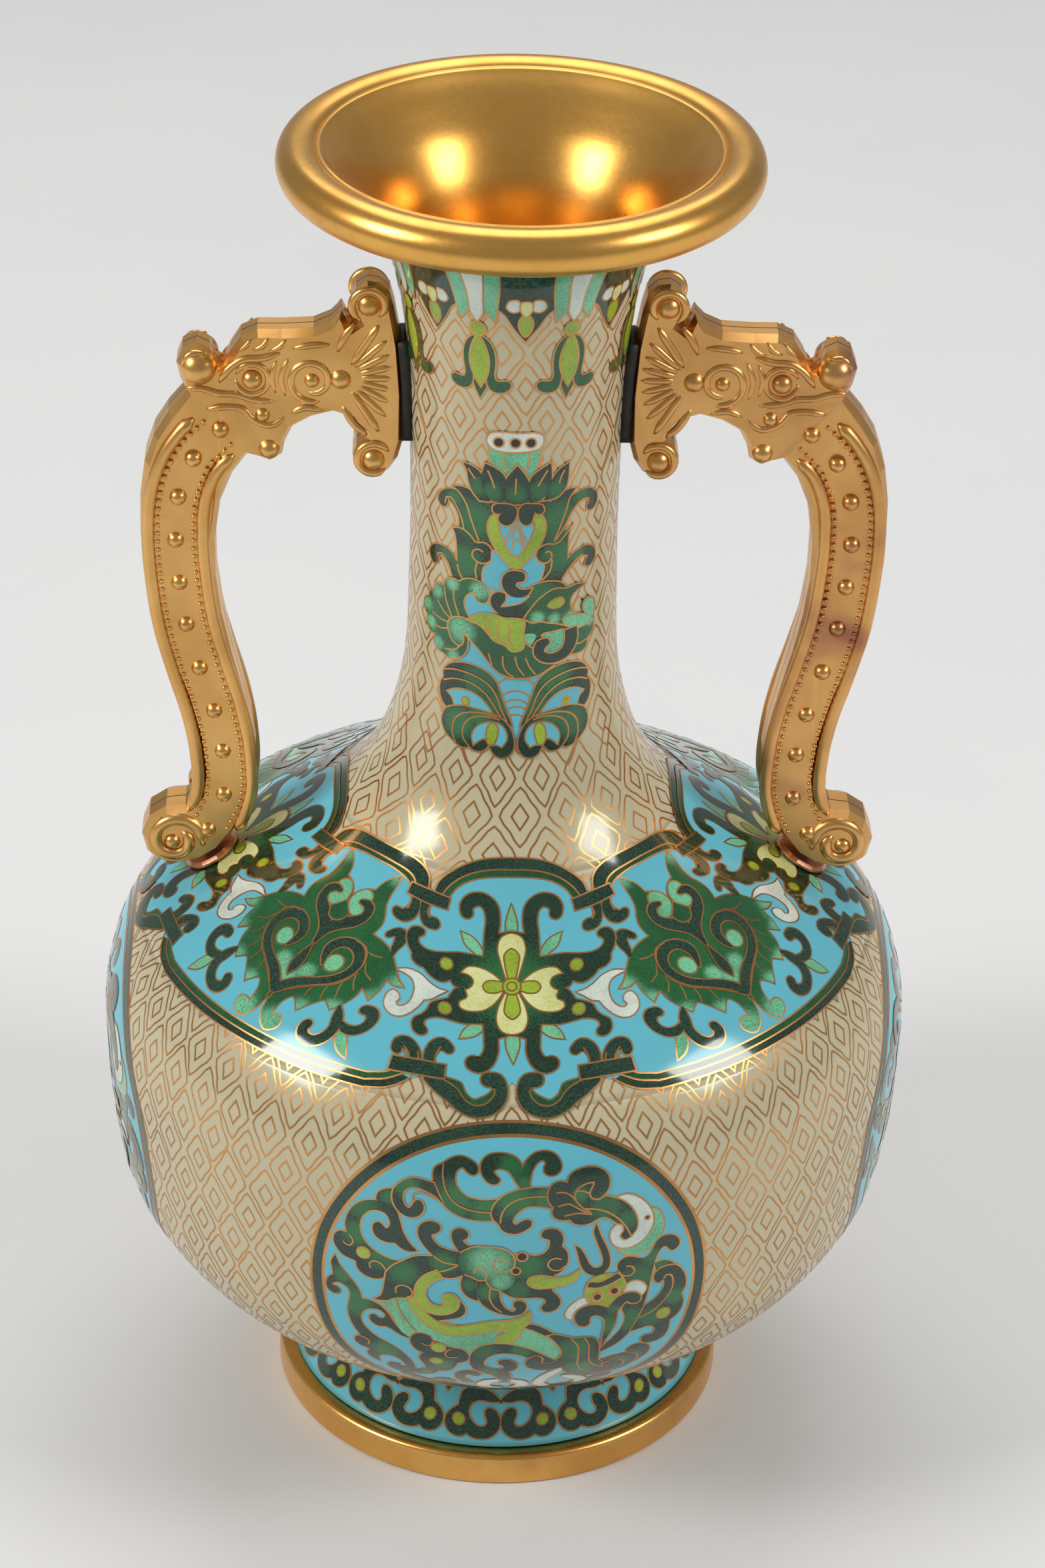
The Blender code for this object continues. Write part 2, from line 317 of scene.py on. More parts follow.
class Tone(Enum):
    """The finishes of the vase, each built once."""

    CREAM = Enamel("cream_enamel", rgb(212, 193, 138), rgb(192, 172, 114), 0.3, 0.8, 0.5, slot="cream_enamel")
    TURQUOISE = Enamel("turquoise_enamel", rgb(92, 186, 208), rgb(70, 160, 186), 0.3, 0.7, 0.25)
    SHADOW = Enamel(
        "shadowed_green_enamel", rgb(15, 38, 28), rgb(36, 86, 54), 0.42, 0.42, tip=rgb(36, 116, 60)
    )
    DARK = Enamel("dark_green_enamel", rgb(17, 40, 31), rgb(42, 88, 62), 0.42, 0.42)
    GREEN = Enamel("green_enamel", rgb(26, 98, 52), rgb(14, 62, 34), 0.45, 0.42)
    LEAF = Enamel("shaded_leaf_enamel", rgb(26, 102, 50), rgb(12, 60, 30), 0.4, 0.42, tip=rgb(124, 206, 160))
    MINT = Enamel("mint_enamel", rgb(122, 204, 160), rgb(88, 172, 124), 0.35, 0.5)
    LIME = Enamel("lime_enamel", rgb(162, 190, 52), rgb(128, 158, 34), 0.35, 0.4)
    WHITE = Enamel("white_enamel", rgb(222, 232, 222), rgb(196, 212, 200), 0.25, 0.6)
    YELLOW = Enamel("yellow_enamel", rgb(226, 230, 168), rgb(214, 214, 84), 0.3, 0.5)
    BLACK = Enamel("black_enamel", rgb(24, 16, 16), rgb(48, 30, 28), 0.3, 0.5)
    WIRE = Gilding("copper_wire", rgb(214, 158, 98), rgb(160, 106, 62), 0.3, slot="gilt_brass")
    GOLD = Gilding("satin_gold", rgb(232, 178, 92), rgb(206, 146, 66), 0.27, turned=2600.0)
    RING = Gilding("foot_gold", rgb(236, 184, 104), rgb(204, 146, 72), 0.24, turned=3000.0, blush=0.25)
    CAST_LEFT = Gilding(
        "cast_gold_left", rgb(232, 182, 110), rgb(202, 148, 80), 0.32, hollow=0.9, blush=0.12,
            slot="gilt_handle"
    )
    CAST_RIGHT = Gilding(
        "cast_gold_right", rgb(228, 176, 108), rgb(192, 136, 78), 0.32, hollow=0.9, blush=0.75,
            slot="gilt_handle"
    )
    PAD = Matt("pad_copper", rgb(208, 132, 98), rgb(150, 86, 64), 1.0, 0.4, 300.0, slot="pad_copper")
    COPPER = Matt("spun_copper", rgb(186, 120, 88), rgb(120, 74, 54), 1.0, 0.5)
    # Near-black painted shade for the crevice where each handle's seat meets the neck.
    SEAM = Matt("dark_seam", rgb(34, 26, 20), rgb(14, 12, 10), 0.0, 0.6, 400.0, slot="gilt_handle")
    UNDER = Enamel("base_enamel", rgb(92, 176, 196), rgb(70, 150, 174), 0.3, 0.7, 0.4, slot="base_enamel")
    FLOOR = Matt("studio_floor", rgb(226, 226, 226), rgb(222, 222, 223), 0.0, 0.75, 3.0)

    @property
    def slot(self) -> str:
        """Returns the record's material slot of this finish."""
        return self.value.slot

    def material(self) -> bpy.types.Material:
        """Returns the loaded material of the finish's name, or builds the finish where none is loaded."""
        return bpy.data.materials.get(self.value.name) or self.value.build()


# ---------------------------------------------------------------------------------------------
# Curves, the wall's profile, and meshes
# ---------------------------------------------------------------------------------------------


def catmull(points: np.ndarray, step: float, closed: bool = False) -> np.ndarray:
    """Draws a smooth centripetal curve through points.

    Args:
        points: one row for each point; only the first two columns space the curve.
        step: the distance between samples.
        closed: whether the last point joins the first.

    Returns:
        The samples, without a repeated last one when closed.
    """
    p = np.asarray(points, float)
    if closed:
        p = np.vstack([p[-1], p, p[0], p[1]])
    else:
        p = np.vstack([2 * p[0] - p[1], p, 2 * p[-1] - p[-2]])
    drawn: list[np.ndarray] = []
    for a, b, c, d in zip(p[:-3], p[1:-2], p[2:-1], p[3:]):
        gaps = [max(float(np.linalg.norm((v - u)[:2])), 1e-6) ** 0.5 for u, v in ((a, b), (b, c), (c, d))]
        t1, t2, t3 = gaps[0], gaps[0] + gaps[1], sum(gaps)
        count = max(1, round(gaps[1] ** 2 / step))
        for t in np.linspace(t1, t2, count, endpoint=False):
            ab = a + (b - a) * t / t1
            bc = b + (c - b) * (t - t1) / (t2 - t1)
            cd = c + (d - c) * (t - t2) / (t3 - t2)
            abc = ab + (bc - ab) * t / t2
            bcd = bc + (cd - bc) * (t - t1) / (t3 - t1)
            drawn.append(abc + (bcd - abc) * (t - t1) / (t2 - t1))
    if not closed:
        drawn.append(p[-2])
    return np.array(drawn)


class Profile:
    """A profile of revolution: height and radius against the distance run along it."""

    def __init__(self, knots: Sequence[tuple[float, float]]) -> None:
        """Takes (height, radius) knots in millimetres, from the bottom up."""
        line = catmull(np.array(knots), 0.25)
        self.z, self.r = line[:, 0], line[:, 1]
        self.s = np.concatenate([[0.0], np.cumsum(np.hypot(np.diff(self.z), np.diff(self.r)))])
        slope = np.gradient(line, self.s, axis=0)
        kernel = np.ones(9) / 9
        for column in range(2):
            padded = np.pad(slope[:, column], 4, mode="edge")
            slope[:, column] = np.convolve(padded, kernel, mode="valid")
        length = np.hypot(slope[:, 0], slope[:, 1])
        self.nz, self.nr = -slope[:, 1] / length, slope[:, 0] / length

    @property
    def length(self) -> float:
        """Returns the profile's whole length."""
        return float(self.s[-1])

    def radius(self, run: float) -> float:
        """Returns the radius at a distance along the profile."""
        return float(np.interp(run, self.s, self.r))

    def run_at(self, height: float) -> float:
        """Returns the distance along the profile at a height."""
        return float(np.interp(height, self.z, self.s))

    def lay(self, flat: np.ndarray, turn: float, lift: float) -> tuple[np.ndarray, np.ndarray]:
        """Lays flat points on the wall.

        Args:
            flat: rows of (across, run).
            turn: the angle round the axis of across = 0, where 0 faces -Y and +90 degrees +X.
            lift: the height above the enamel's face, which lies SINK under the profile.

        Returns:
            The points in metres, and the wall's normals there.
        """
        lift -= SINK
        run = flat[:, 1]
        r, z = np.interp(run, self.s, self.r), np.interp(run, self.s, self.z)
        nr, nz = np.interp(run, self.s, self.nr), np.interp(run, self.s, self.nz)
        angle = turn + flat[:, 0] / r
        sine, cosine = np.sin(angle), np.cos(angle)
        reach = r + lift * nr
        points = np.column_stack([reach * sine, -reach * cosine, z + lift * nz]) * MM
        return points, np.column_stack([nr * sine, -nr * cosine, nz])


def add_piece(
    name: str, shape: bmesh.types.BMesh, tone: Tone, replaces: Iterable[str] = (), smooth: bool = True
) -> bpy.types.Object:
    """Makes a riding piece of a bmesh and reports it.

    Args:
        name: the piece's name.
        shape: its bmesh in metres, freed here.
        tone: its finish.
        replaces: the CAD nodes it stands for.
        smooth: whether it is smooth shaded.

    Returns:
        The object.
    """
    mesh = bpy.data.meshes.new(name)
    shape.to_mesh(mesh)
    shape.free()
    mesh.materials.append(tone.material())
    if smooth:
        mesh.polygons.foreach_set("use_smooth", [True] * len(mesh.polygons))
    piece = bpy.data.objects.new(name, mesh)
    bpy.context.scene.collection.objects.link(piece)
    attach(piece, "root")
    tone.slot
    for node in replaces:
        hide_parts(node)
    LOG.info("%s: %d faces, %s", name, len(mesh.polygons), tone.value.name)
    return piece


def turn_outline(outline: np.ndarray, steps: int, closed: bool) -> bmesh.types.BMesh:
    """Spins a (height, radius) outline round Z.

    Args:
        outline: rows of (height, radius) in millimetres.
        steps: the number of steps round.
        closed: whether the outline's last point joins its first.

    Returns:
        The bmesh in metres, facing outwards when closed.
    """
    shape = bmesh.new()
    line = [shape.verts.new((0.0, -r * MM, z * MM)) for z, r in outline]
    edges = [shape.edges.new(pair) for pair in zip(line, line[1:] + line[:1])][: None if closed else -1]
    bmesh.ops.spin(
        shape, geom=line + edges, axis=(0, 0, 1), cent=(0, 0, 0), angle=2 * math.pi, steps=steps,
            use_merge=True
    )
    bmesh.ops.remove_doubles(shape, verts=shape.verts, dist=1e-7)
    bmesh.ops.recalc_face_normals(shape, faces=shape.faces)
    return shape


# ---------------------------------------------------------------------------------------------
# Drawing with wires and enamel
# ---------------------------------------------------------------------------------------------

WIRE = 0.36
LAYER = 0.06


def smooth_outline(points: Sequence[Flat], step: float) -> np.ndarray:
    """Draws a closed outline; a point with a third value is a corner."""
    corners = [i for i, p in enumerate(points) if len(p) > 2]
    flat = np.array([p[:2] for p in points], float)
    if not corners:
        return catmull(flat, step, closed=True)
    flat = np.roll(flat, -corners[0], axis=0)
    stops = [i - corners[0] for i in corners] + [len(flat)]
    flat = np.vstack([flat, flat[:1]])
    return np.vstack([catmull(flat[a : b + 1], step)[:-1] for a, b in zip(stops, stops[1:])])


def stroke_outline(path: Sequence[Flat], step: float) -> np.ndarray:
    """Draws the outline of a tapering stroke with round ends, from (across, run, half width) points."""
    line = catmull(np.array(path, float), step)
    along = np.gradient(line[:, :2], axis=0)
    along /= np.maximum(np.hypot(along[:, 0], along[:, 1]), 1e-9)[:, None]
    side = np.column_stack([-along[:, 1], along[:, 0]])
    half = np.maximum(line[:, 2:3], 0.02)
    left, right = line[:, :2] + side * half, line[:, :2] - side * half
    ends = []
    for index, sense in ((-1, 1.0), (0, -1.0)):
        centre, reach = line[index, :2], float(half[index, 0])
        if reach < 0.25:
            ends.append(np.empty((0, 2)))
            continue
        start = math.atan2(*(side[index] * sense)[::-1])
        count = max(3, round(math.pi * reach / step))
        angles = start - np.linspace(0, math.pi, count + 1)[1:-1]
        ends.append(centre + reach * np.column_stack([np.cos(angles), np.sin(angles)]))
    return np.vstack([left, ends[0], right[::-1], ends[1]])


@dataclass
class Patch:
    """One piece of a drawing: a filled cell over a wire that shows round it, or a bare wire."""

    tone: Tone
    outline: np.ndarray
    layer: float
    tips: tuple[Flat, ...] = ()
    wired: bool = True
    bare: bool = False
    closed: bool = True
    width: float = WIRE

    def mirrored(self) -> "Patch":
        """Returns the patch mirrored left to right."""
        tips = tuple((-t[0], *t[1:]) for t in self.tips)
        flipped = self.outline[::-1] * np.array([-1.0, 1.0])
        return Patch(self.tone, flipped, self.layer, tips, self.wired, self.bare, self.closed, self.width)


@dataclass
class Drawing:
    """A flat design made of patches, in millimetres across and along the wall."""

    step: float = 0.55
    patches: list[Patch] = field(default_factory=list)

    def cell(
        self, tone: Tone, *points: Flat, layer: int = 1, both: bool = False, tips: Sequence[Flat] = (),
        wired: bool = True,
    ) -> None:
        """Adds a cell with a smooth outline; a point's third value marks a corner."""
        self._add(Patch(tone, smooth_outline(points, self.step), layer, tuple(tips), wired), both)

    def stroke(self, tone: Tone, *path: Flat, layer: int = 1, both: bool = False) -> None:
        """Adds a tapering stroke along (across, run, half width) points."""
        self._add(Patch(tone, stroke_outline(path, self.step), layer), both)

    def disc(self, tone: Tone, across: float, run: float, radius: float, layer: int = 2, both: bool = False,
             tall: float = 1.0) -> None:
        """Adds a round or oval cell."""
        turns = np.linspace(0, 2 * math.pi, max(10, round(8 * radius)), endpoint=False)
        ring = np.column_stack([across + radius * np.cos(turns), run + radius * tall * np.sin(turns)])
        self._add(Patch(tone, ring, layer), both)

    def wire(self, *path: Flat, layer: int = 1, both: bool = False, closed: bool = False,
        width: float = WIRE) -> None:
        """Adds a bare wire along the points."""
        line = catmull(np.array(path, float), self.step, closed)
        self._add(Patch(Tone.WIRE, line, layer, (), True, True, closed, width), both)

    def _add(self, patch: Patch, both: bool) -> None:
        """Keeps a patch, and its mirror image when both is set."""
        self.patches.append(patch)
        if both:
            self.patches.append(patch.mirrored())


def ribbon(line: np.ndarray, width: float, closed: bool) -> tuple[np.ndarray, list[tuple[int, ...]]]:
    """Returns the flat vertices and faces of a wire of that width along a line."""
    if closed:
        before, after = np.roll(line, 1, axis=0), np.roll(line, -1, axis=0)
    else:
        before, after = np.vstack([line[:1], line[:-1]]), np.vstack([line[1:], line[-1:]])
    def unit(v: np.ndarray) -> np.ndarray:
        """Returns the rows scaled to unit length."""
        return v / np.maximum(np.hypot(v[:, 0], v[:, 1]), 1e-9)[:, None]
    first, second = unit(line - before), unit(after - line)
    if not closed:
        first[0], second[-1] = second[0], first[-1]
    along = unit(first + second + 1e-9)
    side = np.column_stack([-along[:, 1], along[:, 0]])
    normal = np.column_stack([-second[:, 1], second[:, 0]])
    mitre = 1 / np.clip((side * normal).sum(axis=1), 0.55, 1.0)
    reach = side * (mitre * width / 2)[:, None]
    count = len(line)
    faces = [(i, (i + 1) % count, count + (i + 1) % count,
        count + i) for i in range(count if closed else count - 1)]
    return np.vstack([line - reach, line + reach]), faces


def inside(points: np.ndarray, outline: np.ndarray) -> np.ndarray:
    """Returns which points lie inside a closed outline."""
    a, b = outline[None], np.roll(outline, -1, axis=0)[None]
    x, y = points[:, 0:1], points[:, 1:2]
    rise = np.where(np.abs(b[..., 1] - a[..., 1]) < 1e-12, 1e-12, b[..., 1] - a[..., 1])
    spans = (a[..., 1] > y) != (b[..., 1] > y)
    return (spans & (x < (b[..., 0] - a[..., 0]) * (y - a[..., 1]) / rise + a[..., 0])).sum(axis=1) % 2 == 1


def fill(outline: np.ndarray, spacing: float) -> tuple[np.ndarray, list[tuple[int, ...]]]:
    """Fills an outline with even triangles.

    Args:
        outline: the closed outline.
        spacing: the distance between the points added inside.

    Returns:
        The flat vertices and the faces.
    """
    low, high = outline.min(axis=0), outline.max(axis=0)
    grid: list[tuple[float, float]] = []
    for row, y in enumerate(np.arange(low[1] + spacing * 0.5, high[1], spacing * 0.87)):
        shift = spacing * 0.5 * (row % 2)
        grid += [(x, y) for x in np.arange(low[0] + spacing * 0.3 + shift, high[0], spacing)]
    kept: list[list[float]] = []
    if grid:
        inner = np.array(grid)
        step = np.roll(outline, -1, axis=0) - outline
        away = inner[:, None, :] - outline[None]
        share = np.clip((away * step).sum(-1) / np.maximum((step * step).sum(-1), 1e-12), 0, 1)
        gap = np.hypot(*np.moveaxis(away - share[..., None] * step, -1, 0)).min(axis=1)
        kept = inner[inside(inner, outline) & (gap > spacing * 0.35)].tolist()
    ring = list(range(len(outline)))
    edges = list(zip(ring, ring[1:] + ring[:1]))
    made = delaunay_2d_cdt([Vector(p) for p in outline.tolist() + kept], edges, [], 0, 1e-5, False)
    verts = np.array([(v.x, v.y) for v in made[0]])
    faces = np.array([f for f in made[2] if len(f) == 3])
    held = inside(verts[faces].mean(axis=1), outline)
    return verts, [tuple(f) for f in faces[held].tolist()]


class Enamelwork:
    """Collects laid drawings and makes one piece for each finish."""

    def __init__(self, name: str, wall: Profile, spacing: float = 2.2) -> None:
        """Starts an empty collection.

        Args:
            name: the pieces' name prefix.
            wall: the profile the drawings are laid on.
            spacing: the distance between points inside a cell.
        """
        self.name = name
        self.wall = wall
        self.spacing = spacing
        self.parts: dict[Tone, list[tuple[np.ndarray, np.ndarray, np.ndarray, list[tuple[int, ...]]]]] = {}

    def lay(self, drawing: Drawing, turns: Iterable[float], mirror: bool = False, rise: float = 0) -> None:
        """Lays a drawing at each turn round the axis.

        Args:
            drawing: the drawing.
            turns: the angles, in radians.
            mirror: whether the drawing is mirrored left to right.
            rise: layers added to every patch.
        """
        for patch in drawing.patches:
            shown = patch.mirrored() if mirror else patch
            sheets = []
            if not shown.bare:
                close = min(1.1, self.spacing) if shown.tips else self.spacing
                sheets.append((shown.tone, *fill(shown.outline, close), LAYER * 0.5))
            if shown.wired:
                width = shown.width if shown.bare else shown.width * 2
                sheets.append((Tone.WIRE, *ribbon(shown.outline, width, shown.closed), 0.0))
            for tone, verts, faces, extra in sheets:
                fade = self._fade(verts, shown.tips)
                for turn in turns:
                    lift = LAYER * (shown.layer + rise) + extra
                    points, normals = self.wall.lay(verts, turn, lift)
                    self.parts.setdefault(tone, []).append((points, normals, fade, faces))

    @staticmethod
    def _fade(verts: np.ndarray, tips: Sequence[Flat]) -> np.ndarray:
        """Returns how near each point is to a pale tip, given as (across, run, reach)."""
        fade = np.zeros(len(verts))
        for across, run, reach in tips:
            gap = np.hypot(verts[:, 0] - across, verts[:, 1] - run)
            fade = np.maximum(fade, np.clip(1 - gap / reach, 0, 1))
        return fade

    def build(self, replaces: dict[Tone, tuple[str, ...]] | None = None) -> None:
        """Makes the pieces."""
        for tone, parts in self.parts.items():
            points = np.vstack([p[0] for p in parts])
            normals = np.vstack([p[1] for p in parts])
            fade = np.concatenate([p[2] for p in parts])
            shape = bmesh.new()
            layer = shape.verts.layers.float.new("fade")
            made = []
            for place, pale in zip(points.tolist(), fade.tolist()):
                vert = shape.verts.new(place)
                vert[layer] = pale
                made.append(vert)
            start = 0
            for part in parts:
                for face in part[3]:
                    try:
                        shape.faces.new([made[start + i] for i in face])
                    except ValueError:
                        continue
                start += len(part[0])
            shape.normal_update()
            self._face_out(shape, normals)
            name = f"{self.name}_{tone.value.name}"
            piece = add_piece(name, shape, tone, (replaces or {}).get(tone, ()))
            piece.data.normals_split_custom_set_from_vertices(normals.tolist())

    @staticmethod
    def _face_out(shape: bmesh.types.BMesh, normals: np.ndarray) -> None:
        """Turns round each face whose normal points into the wall."""
        shape.verts.index_update()
        inward = [f for f in shape.faces if f.normal.dot(Vector(normals[f.verts[0].index])) < 0]
        bmesh.ops.reverse_faces(shape, faces=inward)


# ---------------------------------------------------------------------------------------------
# The turned body: enamel grounds, gilt mouth and foot ring
# ---------------------------------------------------------------------------------------------

BODY = Profile(
    (
        (16.8, 33.5), (20.0, 39.6), (24.4, 45.9), (33.6, 57.6), (45.8, 74.6), (61.0, 84.9), (76.2, 88.0),
        (91.5, 89.1), (105.2, 89.0), (117.4, 85.4), (129.6, 75.9), (140.3, 57.8), (152.5, 39.8),
        (164.7, 29.8), (183.0, 24.0), (207.4, 22.6), (237.9, 22.6), (262.3, 23.6), (280.6, 26.8),
        (287.0, 29.4), (291.6, 32.6), (295.0, 36.8), (297.0, 40.0), (298.6, 43.6),
    )
)
SINK = 0.55


@dataclass
class TurnedBody:
    """The plain enamel coats of the body and the spun copper under them, all walls of revolution."""

    coat: float = 0.8
    copper: float = 1.2
    gap: float = 0.05
    row: float = 1.6
    steps: int = 192
    neck_low: float = 154.0
    band_low: float = 124.4
    body_low: float = 21.2
    shell_seam: float = 104.0
    mouth_end: float = 297.3
    floor_radius: float = 27.0
    floor_height: float = 16.4

    def wall_rows(self, low: float, high: float, depth: float, row: float) -> np.ndarray:
        """Returns (height, radius) rows of a surface at a depth under the body's face, from low to high."""
        start, end = BODY.run_at(low), BODY.run_at(high)
        runs = np.linspace(start, end, max(4, round((end - start) / row)))
        z, r = np.interp(runs, BODY.s, BODY.z), np.interp(runs, BODY.s, BODY.r)
        nz, nr = np.interp(runs, BODY.s, BODY.nz), np.interp(runs, BODY.s, BODY.nr)
        return np.column_stack([z - depth * nz, r - depth * nr])

    def build(self) -> None:
        """Makes the three enamel coats and the three copper spinnings."""
        medallions = ("medallion_front", "medallion_right", "medallion_back", "medallion_left")
        for name, low, high, tone, nodes in (
            ("neck_ground", self.neck_low, self.mouth_end, Tone.CREAM, ("neck_enamel",)),
            ("shoulder_ground", self.band_low, self.neck_low, Tone.CREAM, ()),
            ("belly_ground", self.body_low, self.band_low, Tone.CREAM, ("belly_enamel", *medallions)),
        ):
            outer = self.wall_rows(low, high, SINK, self.row)
            inner = self.wall_rows(low, high, SINK + self.coat, self.row * 2)
            shape = turn_outline(np.vstack([outer, inner[::-1]]), self.steps, True)
            add_piece(name, shape, tone, nodes)
        top = SINK + self.coat + self.gap
        for name, low, high, nodes in (
            ("neck_copper", self.neck_low, self.mouth_end, ("neck_shell",)),
            ("shoulder_copper", self.shell_seam, self.neck_low, ("shoulder_shell",)),
            ("belly_copper", 19.4, self.shell_seam, ("belly_shell",)),
        ):
            outer = self.wall_rows(low, high, top, self.row * 2)
            inner = self.wall_rows(low, high, top + self.copper, self.row * 2)
            if name == "belly_copper":
                floor, over = self.floor_height, self.floor_height + self.copper
                outer = np.vstack([[(floor, 0.0), (floor, self.floor_radius)], outer])
                inner = np.vstack([[(over, 0.0), (over, self.floor_radius - 0.4)], inner])
                shape = turn_outline(np.vstack([outer, inner[::-1]]), 96, False)
            else:
                shape = turn_outline(np.vstack([outer, inner[::-1]]), 96, True)
            add_piece(name, shape, Tone.COPPER, nodes)


@dataclass
class GiltMouth:
    """The rolled bead round the mouth and the spun funnel inside it."""

    rim_radius: float = 49.7
    bead_radius: float = 4.8
    height: float = 305.0
    lining_low: float = 228.0
    depth: float = 2.75
    thickness: float = 0.8
    swell: float = 2.6
    swell_run: float = 20.0
    steps: int = 160

    def build(self) -> None:
        """Makes the bead and the funnel."""
        middle = self.rim_radius - self.bead_radius
        turns = np.linspace(0, 2 * math.pi, 36, endpoint=False)
        bead = np.column_stack(
            [
                self.height - self.bead_radius + self.bead_radius * np.cos(turns),
                middle + self.bead_radius * np.sin(turns),
            ]
        )
        add_piece("gilt_rim_bead", turn_outline(bead, self.steps, True), Tone.GOLD, ("rim_bead",))
        runs = np.linspace(BODY.run_at(self.lining_low), BODY.length, 90)
        z, r = np.interp(runs, BODY.s, BODY.z), np.interp(runs, BODY.s, BODY.r)
        nz, nr = np.interp(runs, BODY.s, BODY.nz), np.interp(runs, BODY.s, BODY.nr)
        swell = self.swell * np.clip((runs - runs[-1] + self.swell_run) / self.swell_run, 0, 1) ** 2
        deep = self.depth + self.thickness + swell
        outline = np.vstack(
            [
                np.column_stack([z - self.depth * nz, r - self.depth * nr]),
                np.column_stack([z - deep * nz, r - deep * nr])[::-1],
            ]
        )
        add_piece("gilt_funnel", turn_outline(outline, self.steps, True), Tone.GOLD, ("mouth_lining",))


@dataclass
class Foot:
    """The enamelled foot wall and the gilt ring that it stands in."""

    top: tuple[float, float] = (21.0, 41.4)
    low: tuple[float, float] = (8.4, 48.2)
    coat: float = 0.8
    ring_radius: float = 51.0
    ring_inner: float = 44.6
    ring_height: float = 7.6
    round_over: float = 1.2
    steps: int = 192

    def wall(self) -> Profile:
        """Returns the foot wall's profile, run upwards from the ring."""
        (top_z, top_r), (low_z, low_r) = self.top, self.low
        third = [(low_z + (top_z - low_z) * t, low_r + (top_r - low_r) * t) for t in (0.0, 0.33, 0.67, 1.0)]
        return Profile(third)

    def build(self) -> None:
        """Makes the enamelled wall and the ring."""
        wall = self.wall()
        runs = np.linspace(0, wall.length, 9)
        z, r = np.interp(runs, wall.s, wall.z), np.interp(runs, wall.s, wall.r)
        outer = np.column_stack([z - SINK * wall.nz[0], r - SINK * wall.nr[0]])
        deep = SINK + self.coat
        inner = np.column_stack([z - deep * wall.nz[0], r - deep * wall.nr[0]])
        shape = turn_outline(np.vstack([outer, inner[::-1]]), self.steps, True)
        add_piece("foot_ground", shape, Tone.TURQUOISE, ("foot_enamel",))
        shape = turn_outline(self.ring_outline(), self.steps, True)
        add_piece("gilt_foot_ring", shape, Tone.RING, ("foot_ring",))

    def ring_outline(self) -> np.ndarray:
        """Returns the ring's outline with its outer edges rounded."""
        soft, high, wide = self.round_over, self.ring_height, self.ring_radius
        turns = np.linspace(0, math.pi / 2, 7)
        low_edge = [(0.8 * (1 - math.cos(t)), wide - 0.8 + 0.8 * math.sin(t)) for t in turns]
        top_edge = [(high - soft * (1 - math.sin(t)), wide - soft * (1 - math.cos(t))) for t in turns]
        seat = [(high, 47.6), (high - 0.4, self.ring_inner), (0.0, self.ring_inner)]
        middle = [(z, wide) for z in np.linspace(1.4, high - soft - 0.6, 5)]
        return np.array(low_edge + middle + top_edge + seat)


# ---------------------------------------------------------------------------------------------
# Wire lozenges on the cream ground
# ---------------------------------------------------------------------------------------------


@dataclass
class Lozenges:
    """Double wire lozenges in staggered rows round the body."""

    pitch: float = 8.15
    belly_top: float = 136.7
    belly_low: float = 8.0
    flare_low: float = 183.2
    neck_top: float = 316.0
    half_width: float = 0.42
    half_height: float = 6.3
    inner: float = 0.42

    def rows(self) -> Iterable[tuple[float, int, float]]:
        """Yields each row's run, count and the angle of its first lozenge."""
        run, index = self.belly_top, 1
        while run > self.belly_low:
            radius = BODY.radius(run)
            count = 56 if radius > 70 else 44 if radius > 52 else 32
            yield run, count, (index % 2) * math.pi / count
            run, index = run - self.pitch, index + 1
        run, index = self.flare_low, 0
        while run < self.neck_top:
            count = 18 if run < 211 else 15
            yield run, count, 0.06 + (index % 2) * math.pi / count
            run, index = run + self.pitch, index + 1

    def build(self) -> None:
        """Lays a slightly uneven pair of lozenges at every place."""
        chance = np.random.default_rng(11)
        work = Enamelwork("lozenges", BODY)
        for run, count, first in self.rows():
            wide = 2 * math.pi * BODY.radius(run) / count * self.half_width
            for number in range(count):
                place = Drawing(1.6)
                lean, drift, swell = chance.normal(0, 0.22), chance.normal(0, 0.18), chance.normal(1, 0.035)
                for share, tall in ((1.0, self.half_height), (self.inner, self.half_height * 0.43)):
                    w, h = wide * share * swell, tall * swell
                    place.wire(
                        (lean * share + drift, run + h), (w * 0.52 + drift, run + h * 0.52), (w + drift, run),
                        (w * 0.5 + drift, run - h * 0.5), (drift - lean * share, run - h),
                        (-w * 0.5 + drift, run - h * 0.5), (-w + drift, run + lean * 0.5),
                        (-w * 0.52 + drift, run + h * 0.52), layer=0, closed=True, width=0.42,
                    )
                work.lay(place, (first + 2 * math.pi * number / count,), rise=0.5)
        work.build()


# ---------------------------------------------------------------------------------------------
# The shoulder band
# ---------------------------------------------------------------------------------------------


